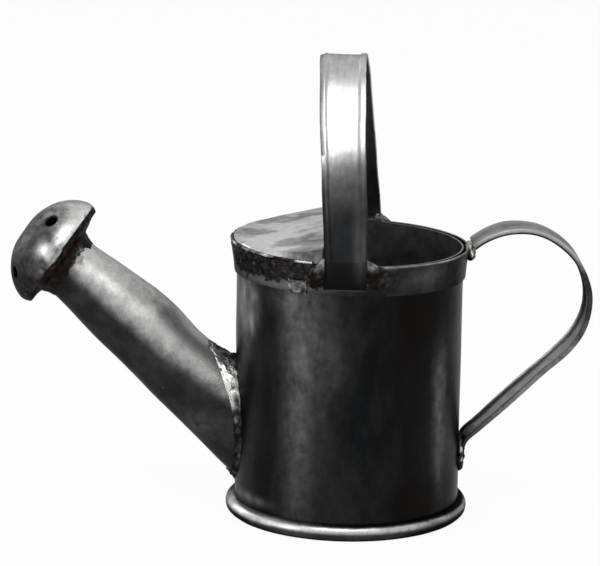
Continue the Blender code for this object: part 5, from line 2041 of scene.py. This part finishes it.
@dataclass(frozen=True)
class Lamp:
    """A soft rectangular lamp that looks at the can."""

    name: str
    azimuth: float
    elevation: float
    distance: float
    size: tuple[float, float]
    power: float

    def build(self, target: Vector) -> bpy.types.Object:
        """Hang the lamp.

        Args:
            target: Place that it looks at.

        Returns:
            The lamp object.
        """
        data = bpy.data.lights.new(self.name, "AREA")
        data.shape = "RECTANGLE"
        data.size, data.size_y = self.size
        data.energy = self.power
        lamp = linked(self.name, data)
        turn = math.radians(FACING + self.azimuth)
        rise = math.radians(self.elevation)
        way = Vector((math.cos(turn) * math.cos(rise), math.sin(turn) * math.cos(rise), math.sin(rise)))
        lamp.location = target + way * self.distance
        lamp.rotation_euler = way.to_track_quat("Z", "Y").to_euler()
        lamp.visible_camera = False
        return lamp


@dataclass
class Studio:
    """Floor, lamps, surroundings and camera."""

    target: Vector = field(default_factory=lambda: Vector((-0.0002, 0.0, 0.0886)))
    azimuth: float = 4.4
    elevation: float = 12.6
    roll: float = 0.88
    distance: float = 1.2
    lens: float = 188.6
    floor_size: float = 8.0
    lamps: tuple[Lamp, ...] = (
        Lamp("front_box", -4.0, 54.0, 1.1, (0.75, 0.48), 4.2),
        Lamp("left_strip", -58.0, 12.0, 1.2, (0.16, 1.1), 2.2),
        Lamp("right_strip", 109.0, 12.0, 1.2, (0.16, 1.1), 1.8),
        Lamp("left_back_box", -128.0, 22.0, 1.2, (0.5, 0.9), 3.0),
    )

    def build(self) -> None:
        """Build the whole studio."""
        self.floor()
        self.surroundings()
        for lamp in self.lamps:
            lamp.build(self.target)
        self.camera()

    def floor(self) -> None:
        """Plain white floor that keeps the can's shadow."""
        bm = bmesh.new()
        bmesh.ops.create_grid(bm, x_segments=1, y_segments=1, size=self.floor_size)
        floor = from_bmesh("floor", bm)
        material = bpy.data.materials.new("floor_white")
        material.use_nodes = True
        tree = material.node_tree
        wiring = Wiring(tree)
        tree.nodes.remove(tree.nodes["Principled BSDF"])
        paper = wiring.node("ShaderNodeBsdfDiffuse", {"Color": (0.86, 0.86, 0.86, 1.0)})
        white = wiring.node("ShaderNodeEmission", {"Color": WHITE, "Strength": 1.0})
        share = wiring.math("MULTIPLY", wiring.seen(), 0.94)
        mixed = wiring.node("ShaderNodeMixShader", {
            0: share, 1: paper.outputs[0], 2: white.outputs[0],
        })
        tree.links.new(mixed.outputs[0], tree.nodes["Material Output"].inputs["Surface"])
        floor.data.materials.append(material)

    def surroundings(self) -> None:
        """Even grey light, which the camera and reflections see as white."""
        world = bpy.data.worlds.new("studio")
        bpy.context.scene.world = world
        world.use_nodes = True
        tree = world.node_tree
        wiring = Wiring(tree)
        strength = wiring.mix(wiring.seen(), 0.62, 1.0)
        tree.links.new(strength, tree.nodes["Background"].inputs["Strength"])
        tree.nodes["Background"].inputs["Color"].default_value = WHITE

    def camera(self) -> None:
        """Camera at the photograph's angle."""
        turn, tilt, roll = (math.radians(a) for a in (self.azimuth, self.elevation, self.roll))
        back = Vector((math.sin(turn) * math.cos(tilt), -math.cos(turn) * math.cos(tilt), math.sin(tilt)))
        right = Vector((math.cos(turn), math.sin(turn), 0.0))
        up = back.cross(right)
        level = right * math.cos(roll) + up * math.sin(roll)
        upright = up * math.cos(roll) - right * math.sin(roll)
        data = bpy.data.cameras.new("camera")
        data.lens = self.lens
        data.sensor_width = 36.0
        data.clip_end = 50.0
        camera = linked("camera", data)
        matrix = Matrix((level, upright, back)).transposed().to_4x4()
        matrix.translation = self.target + back * self.distance
        camera.matrix_world = matrix
        bpy.context.scene.camera = camera
        bpy.context.scene.view_settings.view_transform = "Standard"


def main() -> None:
    """Build the can and its studio."""
    logging.basicConfig(level=logging.INFO, format="%(name)s %(message)s")
    noise.seed_set(NOISE_SEED)
    shop = Workshop()
    rack = Rack(shop)
    rack.fill()
    for kind in (Body, Mouth, Hoop, RearHandle, Spout, Rose):
        log.info("building %s", kind.__name__)
        kind(shop, rack).build()
    Studio().build()


if __name__ == "__main__":
    main()
